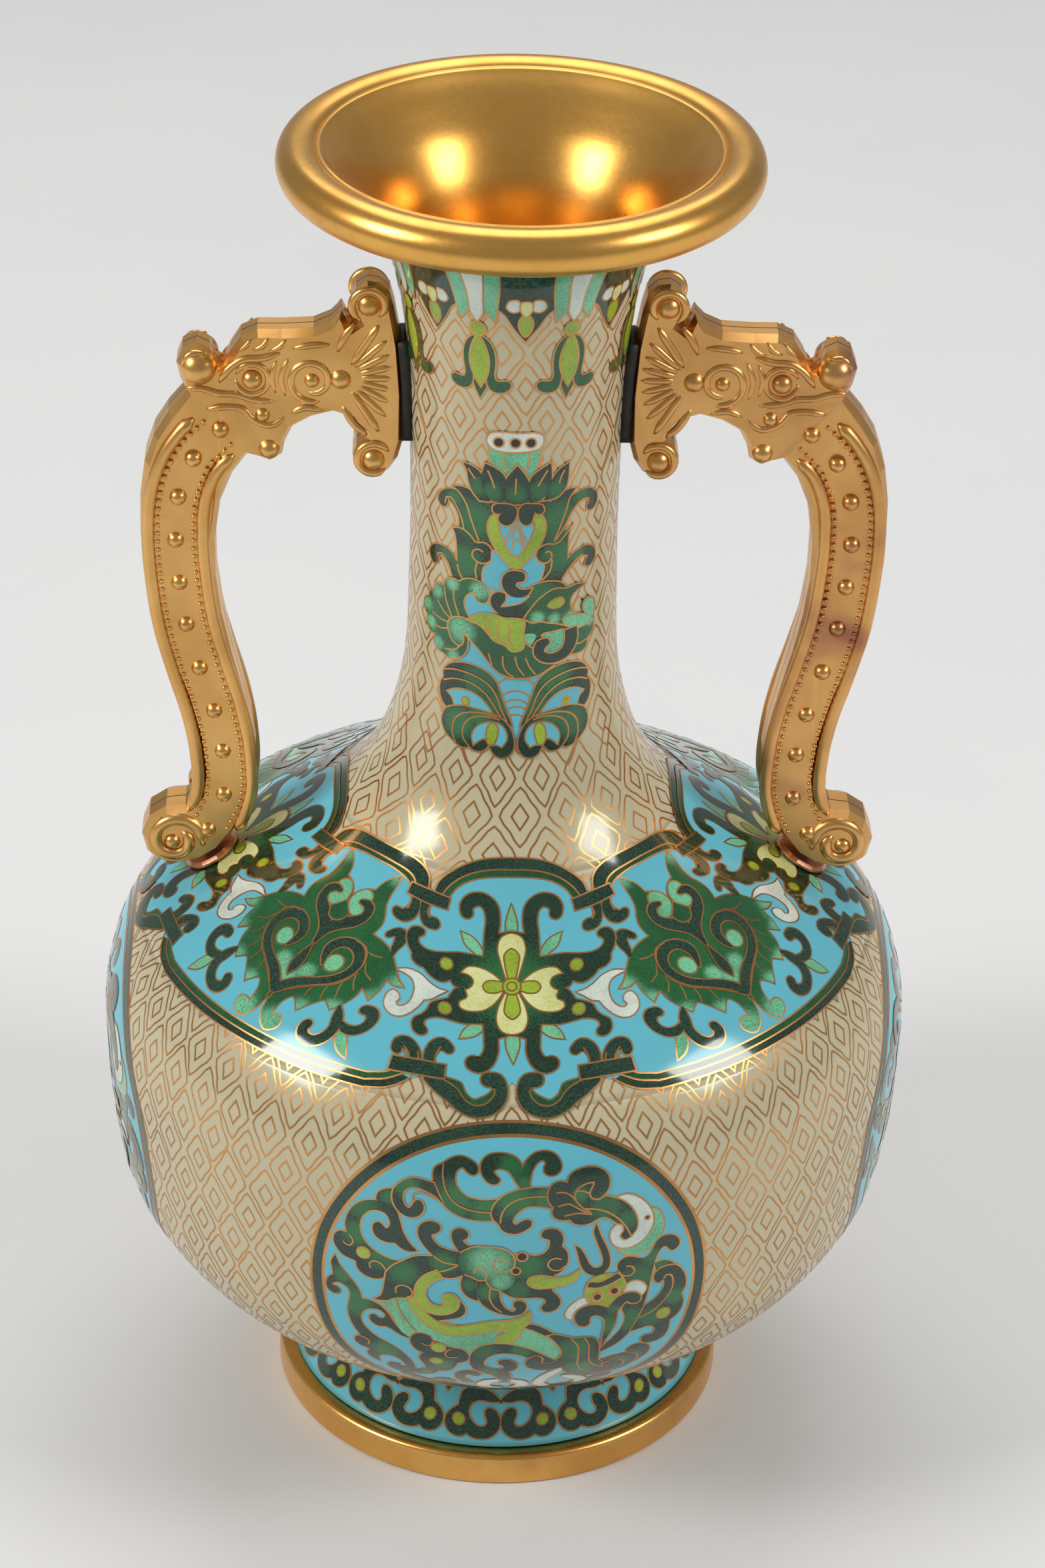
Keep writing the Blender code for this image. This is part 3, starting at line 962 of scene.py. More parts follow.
@dataclass
class ShoulderBand:
    """The turquoise band: four flowers and four heart-shaped leaves inside a bound ribbon border."""

    flower_turns: tuple[float, ...] = tuple(math.radians(a) for a in (0, 90, 180, 270))
    leaf_turns: tuple[float, ...] = tuple(math.radians(a) for a in (45, 135, 225, 315))

    def build(self) -> None:
        """Draws the band and lays it four times round the shoulder."""
        work = Enamelwork("shoulder", BODY, 2.0)
        work.lay(self.flower_field(), self.flower_turns)
        work.lay(self.leaf_field(), self.leaf_turns)
        work.lay(self.flower(), self.flower_turns)
        work.lay(self.leaf(), self.leaf_turns)
        work.lay(self.knots(), self.flower_turns)
        work.build({Tone.TURQUOISE: ("shoulder_band_enamel",)})

    @staticmethod
    def side(low: float, high: float) -> list[tuple[float, float]]:
        """Returns points up the line between a flower's field and a leaf's field."""
        return [(BODY.radius(s) * math.pi / 8, s) for s in np.linspace(low, high, 18)]

    def belt(self, drawing: Drawing, tone: Tone, low: Sequence[Flat], high: Sequence[Flat],
        layer: float) -> None:
        """Adds a mirrored field between a lower and an upper edge, each given from the middle out."""
        bottom, top = catmull(np.array(low), 0.7), catmull(np.array(high), 0.7)
        edge = np.array(self.side(float(bottom[-1, 1]), float(top[-1, 1])))
        if layer % 1:
            bottom[-1, 0] += 0.8
            top[-1, 0] += 0.8
            edge[:, 0] += 0.8
        right = np.vstack([bottom, edge[1:-1], top[::-1]])
        left = right[::-1] * np.array([-1.0, 1.0])
        keep = left[np.abs(left[:, 0]) > 1e-6]
        drawing.patches.append(Patch(tone, np.vstack([right, keep]), layer, wired=False))

    def flower_field(self) -> Drawing:
        """Returns the field round a flower: dark border, mid-green border and turquoise, one over another."""
        art = Drawing(0.7)
        foot = ((0.0, 140.0), (2.4, 138.0), (3.2, 136.0), (5.2, 134.5), (8.0, 134.1), (10.6, 135.3),
            (12.4, 137.0),
                (15.0, 138.4), (18.4, 140.2), (21.4, 139.2))
        low_side = ((24.0, 137.6), (27.0, 136.3), (30.2, 135.7), (self.side(135.6, 136)[0][0], 135.5))
        top = ((0.0, 191.0), (5.0, 190.6), (9.0, 189.3), (12.5, 187.2), (15.6, 184.4), (16.6, 182.2))
        self.belt(art, Tone.DARK, foot + low_side, top + (self.side(181.8, 182)[0],), 1)
        mid_low = ((24.0, 139.4), (27.0, 138.1), (30.2, 137.4), (self.side(137.2, 138)[0][0], 137.2))
        middle = ((0.0, 188.4), (3.5, 188.3), (7.0, 187.6), (10.5, 186.0), (13.4, 183.6), (15.0, 181.4))
        self.belt(art, Tone.GREEN, foot + mid_low, middle + (self.side(181.0, 182)[0],), 2)
        field_low = ((24.6, 140.4), (27.2, 139.5), (30.2, 138.9), (self.side(138.7, 139)[0][0], 138.7))
        inner = ((0.0, 186.8), (3.0, 186.7), (6.0, 186.3), (9.0, 185.3), (11.8, 183.3), (13.4, 181.0))
        self.belt(art, Tone.TURQUOISE, foot + field_low, inner + (self.side(180.4, 182)[0],), 3)
        self.edge_wires(art, (top, middle, inner), 4)
        ends = ((20.6, 140.2), (21.8, 139.0))
        for start, line in ((ends, low_side), (((22.6, 140.3), (23.2, 139.8)), mid_low),
                            (((25.4, 140.3), (25.9, 140.0)), field_low[1:])):
            art.wire(*start, *line, layer=4, both=True)
        return art

    @staticmethod
    def edge_wires(art: Drawing, lines: Iterable[Sequence[Flat]], layer: int) -> None:
        """Adds a wire along each edge, carried through to its mirror image."""
        for line in lines:
            art.wire(*[(-x, s) for x, s in reversed(line[1:])], *line, layer=layer)

    def leaf_field(self) -> Drawing:
        """Returns the field round a leaf."""
        art = Drawing(0.7)
        top = ((0.0, 188.1), (4.5, 188.0), (8.4, 187.5), (11.4, 186.3), (13.4, 184.6), (14.8, 182.0))
        middle = ((0.0, 185.4), (4.0, 185.2), (8.0, 184.6), (10.4, 183.5), (11.8, 182.0))
        inner = ((0.0, 184.2), (4.0, 184.1), (7.4, 183.4), (9.6, 182.5), (10.8, 181.4))
        lows = (((0.0, 135.5), (18.0, 135.4)), ((0.0, 137.2), (18.0, 137.1)), ((0.0, 138.8), (18.0, 138.7)))
        for tone, high, low, layer in zip(
            (Tone.DARK, Tone.GREEN, Tone.TURQUOISE), (top, middle, inner), lows, (0.8, 1.8, 2.8)
        ):
            bottom = low + (self.side(low[1][1], 150)[0],)
            rim = high + (self.side(min(high[-1][1], 181.6), 182)[0],)
            self.belt(art, tone, bottom, rim, layer)
            self.edge_wires(art, (bottom,), 4)
        self.edge_wires(art, (top, middle, inner), 4)
        return art

    def knots(self) -> Drawing:
        """Returns the bars that bind the border by a flower, with their tendrils, and the scroll below."""
        art = Drawing(0.6)
        art.stroke(Tone.DARK, (21.0, 179.8, 0.9), (21.1, 177.6, 1.1), (22.4, 175.7, 1.3), (24.0, 174.9, 1.25),
                   (25.2, 175.2, 1.2), layer=4, both=True)
        art.stroke(Tone.DARK, (18.6, 179.2, 1.0), (18.9, 176.8, 1.0), (18.2, 175.0, 1.2), (16.7, 174.8, 1.3),
                   layer=4, both=True)
        art.wire((21.9, 179.6), (22.2, 178.0), (22.9, 176.6), layer=5, both=True)
        art.wire((17.4, 178.8), (18.1, 176.9), (17.5, 175.8), layer=5, both=True)
        art.cell(Tone.DARK, (21.9, 182.4, 1), (17.5, 181.8), (13.2, 180.9, 1), (13.8, 178.5, 1),
            (18.4, 179.1),
                 (22.9, 180.1, 1), layer=5, both=True)
        art.stroke(Tone.DARK, (20.5, 142.4, 1.3), (20.7, 145.0, 1.35), (22.1, 146.7, 1.3), (23.9, 146.3, 1.2),
                   (24.5, 145.0, 1.1), layer=4, both=True)
        art.stroke(Tone.DARK, (17.4, 142.4, 1.2), (17.3, 144.8, 1.15), (16.1, 146.9, 1.25),
            (14.5, 147.7, 1.25),
                   (13.3, 146.7, 1.1), layer=4, both=True)
        for bow in (((21.6, 142.6), (21.9, 144.6), (22.9, 145.9)),
            ((16.2, 142.6), (16.0, 144.8), (14.9, 146.9)),
                    ((19.6, 142.6), (19.8, 145.2)), ((22.3, 142.6), (22.7, 144.3), (23.3, 145.3))):
            art.wire(*bow, layer=5, both=True)
        art.cell(Tone.GREEN, (3.5, 139.2, 1), (4.6, 137.7), (6.2, 136.7), (8.0, 136.1), (9.7, 137.3),
            (10.7, 139.4),
                 (12.0, 139.9), (14.6, 140.4, 1), (15.4, 139.6), (12.8, 138.4), (11.4, 137.9), (10.4, 135.9),
                 (8.6, 134.7), (6.2, 134.7), (4.0, 136.0), (3.0, 137.8), layer=4, both=True)
        art.stroke(Tone.DARK, (5.0, 140.5, 1.45), (3.3, 140.3, 1.5), (2.25, 138.4, 1.2), (2.9, 136.0, 1.25),
                   (5.0, 134.2, 1.15), (8.0, 133.7, 1.1), (10.7, 134.9, 1.25), (12.7, 136.9, 1.6),
                   (15.0, 138.3, 1.5),
                   (17.4, 139.8, 1.1), layer=5, both=True)
        art.cell(Tone.DARK, (14.0, 142.9, 1), (19.0, 143.2), (25.2, 143.2, 1), (26.2, 140.3, 1),
            (20.0, 140.3),
                 (14.3, 140.1, 1), layer=6, both=True)
        return art

    def flower(self) -> Drawing:
        """Returns a flower with four petals, green arms, leaflets and white curls."""
        art = Drawing(0.55)
        heart = ((0.0, 162.0, 19.0),)
        art.cell(Tone.MINT, (-1.0, 173.6, 1), (-1.1, 176.6), (0.0, 180.7, 1), (1.1, 176.6), (1.0, 173.6, 1),
            layer=4)
        art.cell(Tone.MINT, (-1.1, 151.4, 1), (-1.2, 148.0), (0.2, 144.2, 1), (1.4, 148.0), (1.2, 151.4, 1),
            layer=4)
        art.cell(Tone.MINT, (-10.6, 173.9, 1), (-9.7, 171.2), (-7.6, 169.3), (-5.6, 167.6, 1), (-6.3, 170.3),
                 (-8.2, 172.8), layer=4, both=True)
        art.cell(Tone.MINT, (-10.9, 149.3, 1), (-8.1, 150.0), (-6.3, 151.5), (-5.4, 154.0, 1), (-7.8, 153.1),
                 (-9.9, 151.4), layer=4, both=True)
        art.stroke(Tone.SHADOW, (-4.0, 168.0, 1.9), (-4.2, 174.0, 1.4), (-3.9, 177.2, 1.4),
            (-4.5, 180.2, 1.5),
                   (-6.3, 181.6, 1.4), (-8.4, 181.2, 1.4), (-9.6, 179.7, 1.3), (-9.5, 178.4, 1.25),
                   layer=5, both=True)
        art.stroke(Tone.SHADOW, (-4.4, 155.0, 1.7), (-4.4, 149.5, 1.35), (-4.4, 146.8, 1.4),
            (-5.5, 144.4, 1.55),
                   (-7.1, 143.5, 1.6), (-8.1, 143.9, 1.55), layer=5, both=True)
        art.cell(Tone.SHADOW, (-3.0, 168.2, 1), (-8.0, 168.8), (-11.0, 169.0), (-14.0, 168.6), (-17.0, 168.4),
                 (-19.0, 168.9), (-20.1, 170.0), (-20.0, 171.1), (-18.9, 171.8), (-18.8, 172.8),
                 (-20.0, 173.3),
                 (-21.6, 172.8), (-22.7, 171.0), (-22.4, 169.0), (-21.4, 167.2, 1), (-21.4, 166.0),
                 (-20.3, 164.9),
                 (-18.7, 164.5, 1), (-17.5, 163.2), (-15.5, 162.1), (-14.0, 162.2), (-13.0, 162.8, 1),
                 (-12.2, 161.6), (-10.8, 161.0), (-6.0, 160.0), (-3.0, 160.0, 1), layer=5, both=True)
        art.cell(Tone.SHADOW, (-3.0, 153.4, 1), (-8.0, 153.0), (-10.0, 152.9), (-13.0, 153.4), (-15.0, 153.7),
                 (-17.0, 153.4), (-18.4, 152.5), (-18.7, 151.5), (-18.0, 150.5), (-18.1, 149.6),
                 (-19.2, 149.0),
                 (-20.6, 149.5), (-21.2, 151.0), (-20.7, 152.6), (-19.0, 153.8), (-17.9, 155.0),
                 (-17.1, 156.6),
                 (-15.5, 157.5), (-13.4, 158.3, 1), (-12.7, 159.5), (-11.8, 160.7), (-10.6, 161.1),
                 (-6.0, 161.5),
                 (-3.0, 161.0, 1), layer=5, both=True)
        art.cell(Tone.SHADOW, (-3.4, 173.8, 1), (0.0, 174.6), (3.4, 173.8, 1), (4.2, 162.0), (3.4, 149.7, 1),
                 (0.0, 150.6), (-3.4, 149.7, 1), (-4.2, 162.0), layer=5)
        for patch in art.patches:
            if patch.tone is Tone.SHADOW:
                patch.tips = heart
        art.cell(Tone.YELLOW, (-1.7, 161.2, 1), (-2.6, 163.3), (-5.0, 165.2), (-7.5, 166.0), (-9.3, 165.8),
                 (-10.5, 164.6, 1), (-9.4, 164.4), (-8.3, 163.7), (-7.9, 162.5), (-8.6, 161.2),
                 (-9.6, 160.6, 1),
                 (-9.2, 159.4), (-9.6, 158.5), (-10.7, 157.9), (-10.9, 156.9), (-10.2, 156.2), (-8.6, 155.9),
                 (-6.0, 156.3), (-4.0, 157.7), (-2.6, 159.5), layer=6, both=True)
        art.cell(Tone.YELLOW, (-1.1, 163.6, 1), (-2.2, 167.5), (-2.8, 170.7), (-2.0, 173.2), (0.0, 174.1),
                 (2.0, 173.2), (2.8, 170.7), (2.2, 167.5), (1.1, 163.6, 1), layer=6)
        art.cell(Tone.YELLOW, (-1.3, 160.4, 1), (-2.7, 157.0), (-3.1, 153.8), (-2.1, 151.5), (0.0, 150.8),
                 (2.1, 151.5), (3.1, 153.8), (2.7, 157.0), (1.3, 160.4, 1), layer=6)
        art.cell(Tone.LIME, (-0.6, 163.4, 1), (-1.3, 167.3), (-1.35, 169.2), (0.0, 170.5), (1.35, 169.2),
                 (1.3, 167.3), (0.6, 163.4, 1), layer=7)
        art.cell(Tone.LIME, (-0.6, 160.6, 1), (-1.3, 157.6), (-1.35, 155.7), (0.1, 154.4), (1.45, 155.7),
                 (1.4, 157.6), (0.6, 160.6, 1), layer=7)
        art.cell(Tone.LIME, (-1.6, 161.2, 1), (-3.6, 160.5), (-5.3, 160.7), (-5.9, 161.8), (-5.2, 162.8),
                 (-3.6, 163.0), (-1.6, 162.6, 1), layer=7, both=True)
        art.disc(Tone.LIME, 0.0, 161.9, 1.75, layer=8)
        art.disc(Tone.LIME, 0.0, 161.9, 0.85, layer=9)
        art.disc(Tone.LIME, -13.8, 166.1, 1.25, layer=6, both=True)
        art.disc(Tone.LIME, -14.1, 155.9, 1.25, layer=6, both=True)
        art.cell(Tone.WHITE, (-24.8, 162.8, 1), (-22.0, 163.4), (-19.5, 162.8), (-17.4, 161.2),
            (-15.5, 160.2),
                 (-13.8, 159.9, 1), (-15.5, 158.8), (-17.0, 157.7), (-18.7, 157.2, 1), (-19.8, 155.6),
                 (-21.8, 153.6),
                 (-24.0, 152.4), (-26.0, 152.5), (-27.4, 154.0), (-27.0, 156.5), (-25.5, 157.9),
                 (-24.3, 157.3),
                 (-24.2, 156.2), (-25.0, 155.3), (-24.6, 154.6), (-23.4, 154.7), (-21.8, 156.0),
                 (-20.9, 158.0),
                 (-20.7, 160.0), (-21.4, 161.6), (-22.8, 162.3), layer=4, both=True)
        return art

    def leaf(self) -> Drawing:
        """Returns a heart-shaped leaf with its scrolls, veins and tendrils."""
        art = Drawing(0.55)
        tips = ((7.6, 183.0, 5.5), (-7.6, 183.0, 5.5), (2.8, 173.4, 4.6), (-2.8, 173.4, 4.6),
            (24.6, 159.0, 9.0),
                (-24.6, 159.0, 9.0), (20.4, 154.0, 6.5), (-20.4, 154.0, 6.5), (14.6, 149.0, 6.0),
                (-14.6, 149.0, 6.0),
                (7.8, 146.4, 6.0), (-7.8, 146.4, 6.0), (4.5, 141.0, 8.5), (-4.5, 141.0, 8.5),
                (7.6, 159.2, 3.8),
                (-7.6, 159.2, 3.8), (0.0, 153.0, 5.5), (3.5, 155.0, 4.5), (-3.5, 155.0, 4.5))
        right = ((1.2, 176.4), (2.6, 177.4), (4.3, 177.9, 1), (4.9, 180.1), (6.1, 181.8), (7.7, 183.0, 1),
            (7.9, 180.5),
                 (8.0, 178.0), (8.7, 175.5), (9.9, 173.6), (10.7, 171.6), (10.7, 170.0), (10.4, 168.6, 1),
                 (13.0, 168.0), (15.6, 166.9), (17.6, 165.5), (20.4, 162.7), (22.8, 160.3), (24.8, 159.0, 1),
                 (22.4, 159.1), (20.3, 160.1, 1), (20.7, 157.0), (20.2, 154.3, 1), (18.6, 155.5),
                 (17.0, 156.5, 1),
                 (17.2, 154.6), (16.6, 152.6), (15.6, 151.0), (14.5, 149.4, 1), (12.9, 150.6), (12.0, 151.0),
                 (10.0, 149.2), (7.9, 146.5, 1), (6.6, 148.0), (5.1, 148.9), (3.7, 147.2), (3.3, 145.0),
                 (3.2, 143.1, 1), (4.6, 143.7), (6.0, 143.4), (6.5, 142.0), (5.6, 140.5), (3.8, 139.8),
                 (2.0, 140.9),
                 (0.9, 142.9), (0.4, 145.5))
        left = tuple((-p[0], *p[1:]) for p in reversed(right))
        art.cell(Tone.LEAF, (0.0, 174.6, 1), *right, (0.0, 147.0, 1), *left, layer=4, tips=tips)
        art.cell(Tone.MINT, (0.5, 174.6), (1.4, 176.5), (2.8, 177.3), (4.4, 176.7), (5.2, 174.6),
            (5.1, 172.4),
                 (3.9, 171.0), (2.2, 171.2), (0.8, 172.6), layer=5, both=True)
        art.stroke(Tone.DARK, (3.2, 174.4, 0.45), (4.8, 174.4, 0.85), (6.1, 173.3, 1.0), (6.2, 171.4, 1.05),
                   (5.0, 169.8, 1.3), (2.8, 168.3, 1.4), (0.9, 166.4, 1.25), (0.15, 164.0, 0.75),
                   (0.0, 161.6, 0.3),
                   layer=6, both=True)
        art.cell(Tone.GREEN, (-2.5, 170.6, 1), (-1.7, 168.9), (0.0, 168.2), (1.7, 168.9), (2.5, 170.6, 1),
                 (1.2, 171.8), (0.0, 173.2, 1), (-1.2, 171.8), layer=7)
        art.disc(Tone.MINT, 7.5, 159.4, 2.0, layer=5, both=True)
        art.stroke(Tone.DARK, (5.4, 158.0, 0.12), (4.5, 160.1, 0.7), (4.3, 162.4, 1.1), (5.9, 164.4, 1.1),
                   (8.4, 164.9, 1.1), (10.9, 163.7, 1.1), (12.3, 161.2, 1.0), (12.1, 158.4, 1.1),
                   (10.3, 155.9, 1.1),
                   (7.4, 154.1, 1.0), (4.2, 152.3, 1.2), (1.8, 150.4, 1.2), (0.0, 148.4, 0.9), layer=6,
                   both=True)
        art.wire((8.6, 166.0), (11.4, 165.3), (13.2, 163.0), (13.6, 160.0), (12.6, 157.2), (10.6, 154.9),
                 (7.4, 153.0), (4.2, 151.0), (2.0, 149.0), layer=7, both=True)
        art.cell(Tone.DARK, (0.0, 161.2, 1), (-1.15, 157.0), (-0.95, 154.6), (0.0, 152.8, 1), (0.95, 154.6),
                 (1.15, 157.0), layer=7)
        for vein in (((12.2, 164.6), (14.0, 164.2), (16.2, 164.3)),
            ((13.4, 162.6), (15.2, 160.0), (17.6, 158.6)),
                     ((13.5, 160.0), (14.3, 157.4), (15.9, 155.2)),
                     ((12.4, 156.8), (12.7, 154.5), (13.5, 152.4)),
                     ((10.2, 154.6), (10.3, 152.5), (10.9, 150.6)),
                     ((7.6, 153.0), (7.2, 151.5), (7.3, 149.8)),
                     ((0.0, 151.0), (0.3, 148.5), (0.6, 146.0))):
            art.wire(*vein, layer=5, both=True, width=0.28)
        art.stroke(Tone.DARK, (15.8, 150.8, 0.3), (17.1, 148.5, 1.0), (18.1, 145.7, 1.1), (17.4, 143.0, 1.2),
                   (15.2, 141.5, 1.15), (13.0, 141.9, 1.15), (12.0, 143.4, 1.1), (12.3, 144.5, 1.1),
                   layer=4, both=True)
        art.stroke(Tone.DARK, (18.7, 147.4, 0.4), (20.4, 146.4, 0.95), (22.4, 146.5, 1.05),
            (24.0, 148.0, 1.1),
                   (24.1, 150.2, 1.15), (22.7, 151.7, 1.15), (21.3, 151.8, 1.1), layer=4, both=True)
        art.cell(Tone.MINT, (19.4, 145.4, 1), (21.6, 144.9), (23.0, 143.0), (24.4, 140.3, 1), (22.0, 141.4),
                 (20.2, 143.4), layer=4, both=True)
        art.stroke(Tone.DARK, (13.9, 170.0, 0.85), (15.0, 170.9, 1.0), (16.5, 170.2, 1.15),
            (17.1, 168.6, 1.1),
                   (17.2, 166.9, 0.7), (17.7, 165.4, 0.2), layer=4, both=True)
        return art


# A glow too far off to reach any scroll, which leaves it dark all over.
NO_GLOW = ((99.0, 0.0, 1.0),)


# ---------------------------------------------------------------------------------------------
# The dragon medallions
# ---------------------------------------------------------------------------------------------


@dataclass
class Medallions:
    """Four round panels on the belly, each with a scrolled dragon on turquoise."""

    middle: float = 88.2
    reach: float = 43.4
    ring: float = 3.0
    turns: tuple[float, ...] = tuple(math.radians(a) for a in (0, 90, 180, 270))

    def circle(self, radius: float) -> np.ndarray:
        """Returns a circle round the panel's middle."""
        turns = np.linspace(0, 2 * math.pi, 180, endpoint=False)
        return np.column_stack([radius * np.cos(turns), self.middle + radius * np.sin(turns)])

    def build(self) -> None:
        """Draws one panel and lays it on the four sides."""
        work = Enamelwork("medallion", BODY, 2.2)
        art = Drawing(0.55)
        art.patches.append(Patch(Tone.DARK, self.circle(self.reach), 1, width=0.65))
        art.patches.append(Patch(Tone.TURQUOISE, self.circle(self.reach - self.ring), 2, width=0.75))
        self.clouds(art)
        self.left_body(art)
        self.head(art)
        self.mane(art)
        self.tail(art)
        self.small_beast(art)
        self.foot_curls(art)
        work.lay(art, self.turns)
        work.build()

    @staticmethod
    def scroll(art: Drawing, *points: Flat, glow: Sequence[Flat] = (), layer: int = 3) -> None:
        """Adds a dark green scroll that grows lighter round the glow points."""
        art.cell(Tone.SHADOW, *points, layer=layer, tips=glow or NO_GLOW)

    def clouds(self, art: Drawing) -> None:
        """Draws the cloud scrolls along the top."""
        self.scroll(
            art, (-4.0, 109.8, 1), (-8.0, 109.9), (-11.5, 111.0), (-14.2, 113.2), (-15.6, 116.0),
                (-16.4, 119.5),
            (-15.8, 121.4), (-14.2, 122.4, 1), (-12.8, 123.5), (-10.8, 124.2), (-8.6, 123.6), (-7.1, 122.2),
            (-7.2, 120.8), (-8.1, 120.3), (-9.2, 120.9), (-10.2, 121.9), (-11.3, 121.2), (-11.8, 119.2),
            (-11.0, 116.9), (-9.0, 115.2), (-6.0, 114.7), (-2.6, 115.0, 1), (-3.6, 113.5), (-4.0, 111.5),
            glow=((-12.0, 114.0, 9.0), (-5.0, 112.0, 8.0)),
        )
        self.scroll(
            art, (-6.4, 121.6), (-6.0, 123.6), (-4.5, 124.9), (-2.2, 125.2), (0.2, 124.7), (1.6, 123.5),
            (2.2, 122.1, 1), (3.2, 123.9), (4.8, 125.2), (6.8, 125.6), (8.7, 125.0), (10.1, 123.2),
            (10.2, 121.5),
            (9.3, 120.5), (8.0, 120.3), (6.9, 121.0), (6.8, 122.2), (7.2, 123.0), (6.4, 123.8), (5.3, 123.2),
            (4.3, 121.6), (3.9, 119.6), (3.8, 117.2, 1), (2.0, 117.4, 1), (0.7, 119.4), (-0.5, 121.3),
            (-1.8, 121.9),
            (-3.0, 121.9), (-3.8, 121.2), (-3.1, 120.3), (-2.4, 119.4), (-2.8, 118.7), (-4.0, 118.4),
            (-5.4, 119.3),
            glow=((0.5, 122.5, 6.5), (3.0, 119.0, 4.0)),
        )
        self.scroll(
            art, (-4.0, 111.6), (-3.4, 113.8), (-1.6, 115.8), (1.2, 117.1), (4.6, 117.6), (8.6, 117.4, 1),
            (9.2, 115.0), (9.2, 112.7, 1), (7.0, 113.2), (5.0, 113.5), (3.2, 113.3), (1.6, 112.2),
            (0.6, 110.8),
            (0.4, 109.4), (1.0, 108.9), (2.4, 109.9), (3.6, 110.2), (4.3, 109.6), (4.2, 108.6), (3.0, 107.5),
            (1.4, 106.7), (-0.4, 106.8), (-1.8, 107.6), (-2.6, 109.2), (-3.6, 110.2),
            glow=((1.0, 115.0, 9.0), (7.0, 115.0, 6.0)), layer=4,
        )
        self.scroll(
            art, (-16.2, 117.8, 1), (-18.2, 118.2), (-20.6, 118.4), (-23.0, 117.2), (-24.6, 115.4),
                (-25.0, 113.2),
            (-24.4, 111.2), (-23.2, 109.8), (-21.6, 109.1), (-19.8, 109.4), (-18.6, 110.6), (-18.3, 112.2),
            (-19.0, 113.4), (-20.0, 113.3), (-20.6, 112.3), (-21.5, 111.2), (-22.3, 111.9), (-22.8, 113.4),
            (-22.4, 115.2), (-21.2, 116.2), (-19.6, 116.4), (-17.6, 115.8), (-15.6, 114.7), (-14.2, 113.3, 1),
            (-15.3, 115.6), glow=((-22.0, 116.5, 6.0),), layer=5,
        )
        self.scroll(
            art, (-24.8, 115.2, 1), (-26.6, 114.8), (-28.2, 113.6), (-28.6, 112.0, 1), (-26.8, 111.0),
            (-24.4, 110.6, 1), glow=((-26.0, 113.0, 4.0),),
        )
        self.scroll(
            art, (8.0, 117.4, 1), (8.8, 118.4), (10.2, 118.8), (11.7, 118.4, 1), (12.2, 120.0), (13.8, 121.1),
            (16.2, 121.5), (18.6, 120.9), (20.2, 119.4), (20.6, 117.6), (20.2, 115.9), (19.2, 114.8, 1),
            (21.6, 113.9), (23.8, 112.7), (25.8, 110.4), (26.9, 107.6), (26.8, 105.2), (25.6, 103.4, 1),
            (24.4, 102.9), (23.5, 103.9), (24.1, 105.2), (23.8, 106.8), (22.4, 107.6, 1), (21.0, 108.9),
            (19.6, 109.6), (18.4, 109.4), (16.8, 108.5), (15.0, 108.2), (13.2, 108.8), (12.4, 109.8, 1),
            (10.8, 109.8), (9.2, 110.5), (8.6, 111.8), (8.9, 113.0, 1), (7.9, 114.4), (7.7, 116.2),
            glow=((20.0, 112.0, 7.0), (14.5, 115.5, 4.0), (25.0, 108.0, 5.0)), layer=5,
        )
        for line in (
            ((-14.2, 122.4), (-14.3, 119.5), (-13.4, 116.0), (-11.4, 113.5), (-8.0, 112.2), (-4.0, 111.9)),
            ((-2.2, 109.4), (-2.0, 111.4), (-0.8, 113.6), (1.2, 115.0), (4.0, 115.6), (7.6, 115.6)),
            ((-20.6, 113.2), (-20.7, 114.4), (-19.4, 115.3), (-17.6, 115.0), (-15.8, 114.2)),
            ((9.4, 116.4), (11.2, 116.3), (12.8, 115.2), (13.6, 114.2)),
            ((9.8, 113.2), (12.0, 113.6), (14.0, 112.4), (16.6, 110.6)),
            ((11.2, 110.8), (14.0, 111.2), (17.0, 110.6)),
            ((20.0, 115.0), (18.4, 114.1), (17.0, 114.4), (16.4, 115.6), (17.2, 118.0), (14.8, 117.6),
            (13.4, 116.3),
             (13.4, 114.6), (14.6, 112.8), (16.8, 111.0)),
            ((13.6, 116.4), (15.0, 116.3), (16.4, 115.6)),
            ((15.6, 112.2), (19.0, 111.4), (22.0, 109.4), (24.4, 106.4), (25.7, 103.6)),
        ):
            art.wire(*line, layer=6)
        art.cell(Tone.MINT, (30.3, 109.8, 1), (31.6, 109.0), (32.8, 106.6), (33.0, 104.0), (32.2, 101.6),
            (30.2, 99.6),
                 (27.6, 98.6), (25.2, 98.6), (23.4, 99.8), (22.6, 101.4, 1), (26.0, 102.0), (29.0, 104.0),
                 (29.6, 107.0), layer=3)
        art.cell(Tone.WHITE, (22.2, 113.8, 1), (24.4, 114.2), (26.8, 113.2), (29.0, 111.0), (30.3, 108.4),
                 (30.5, 105.8), (29.4, 103.2), (27.6, 101.4), (25.4, 100.6), (23.4, 100.9), (21.8, 102.3),
                 (21.2, 104.4), (21.7, 106.3), (22.9, 107.1), (24.0, 106.7), (24.2, 105.4), (24.0, 104.0),
                 (25.4, 105.0), (26.0, 107.6), (25.0, 110.2), (23.6, 112.0), layer=4)
        art.disc(Tone.BLACK, 29.2, 107.6, 0.35, layer=5)
        self.scroll(
            art, (13.7, 102.6, 1), (14.6, 102.0), (15.8, 100.0), (16.8, 97.6), (18.0, 96.2), (19.4, 96.4),
            (19.8, 98.0), (19.2, 100.6), (18.2, 103.6), (17.6, 106.0), (18.1, 108.0, 1), (19.2, 104.4),
            (20.4, 101.6), (21.2, 98.8), (21.2, 96.2), (20.0, 94.6), (18.0, 94.2), (16.2, 95.2), (15.0, 97.4),
            (14.4, 100.0),
        )

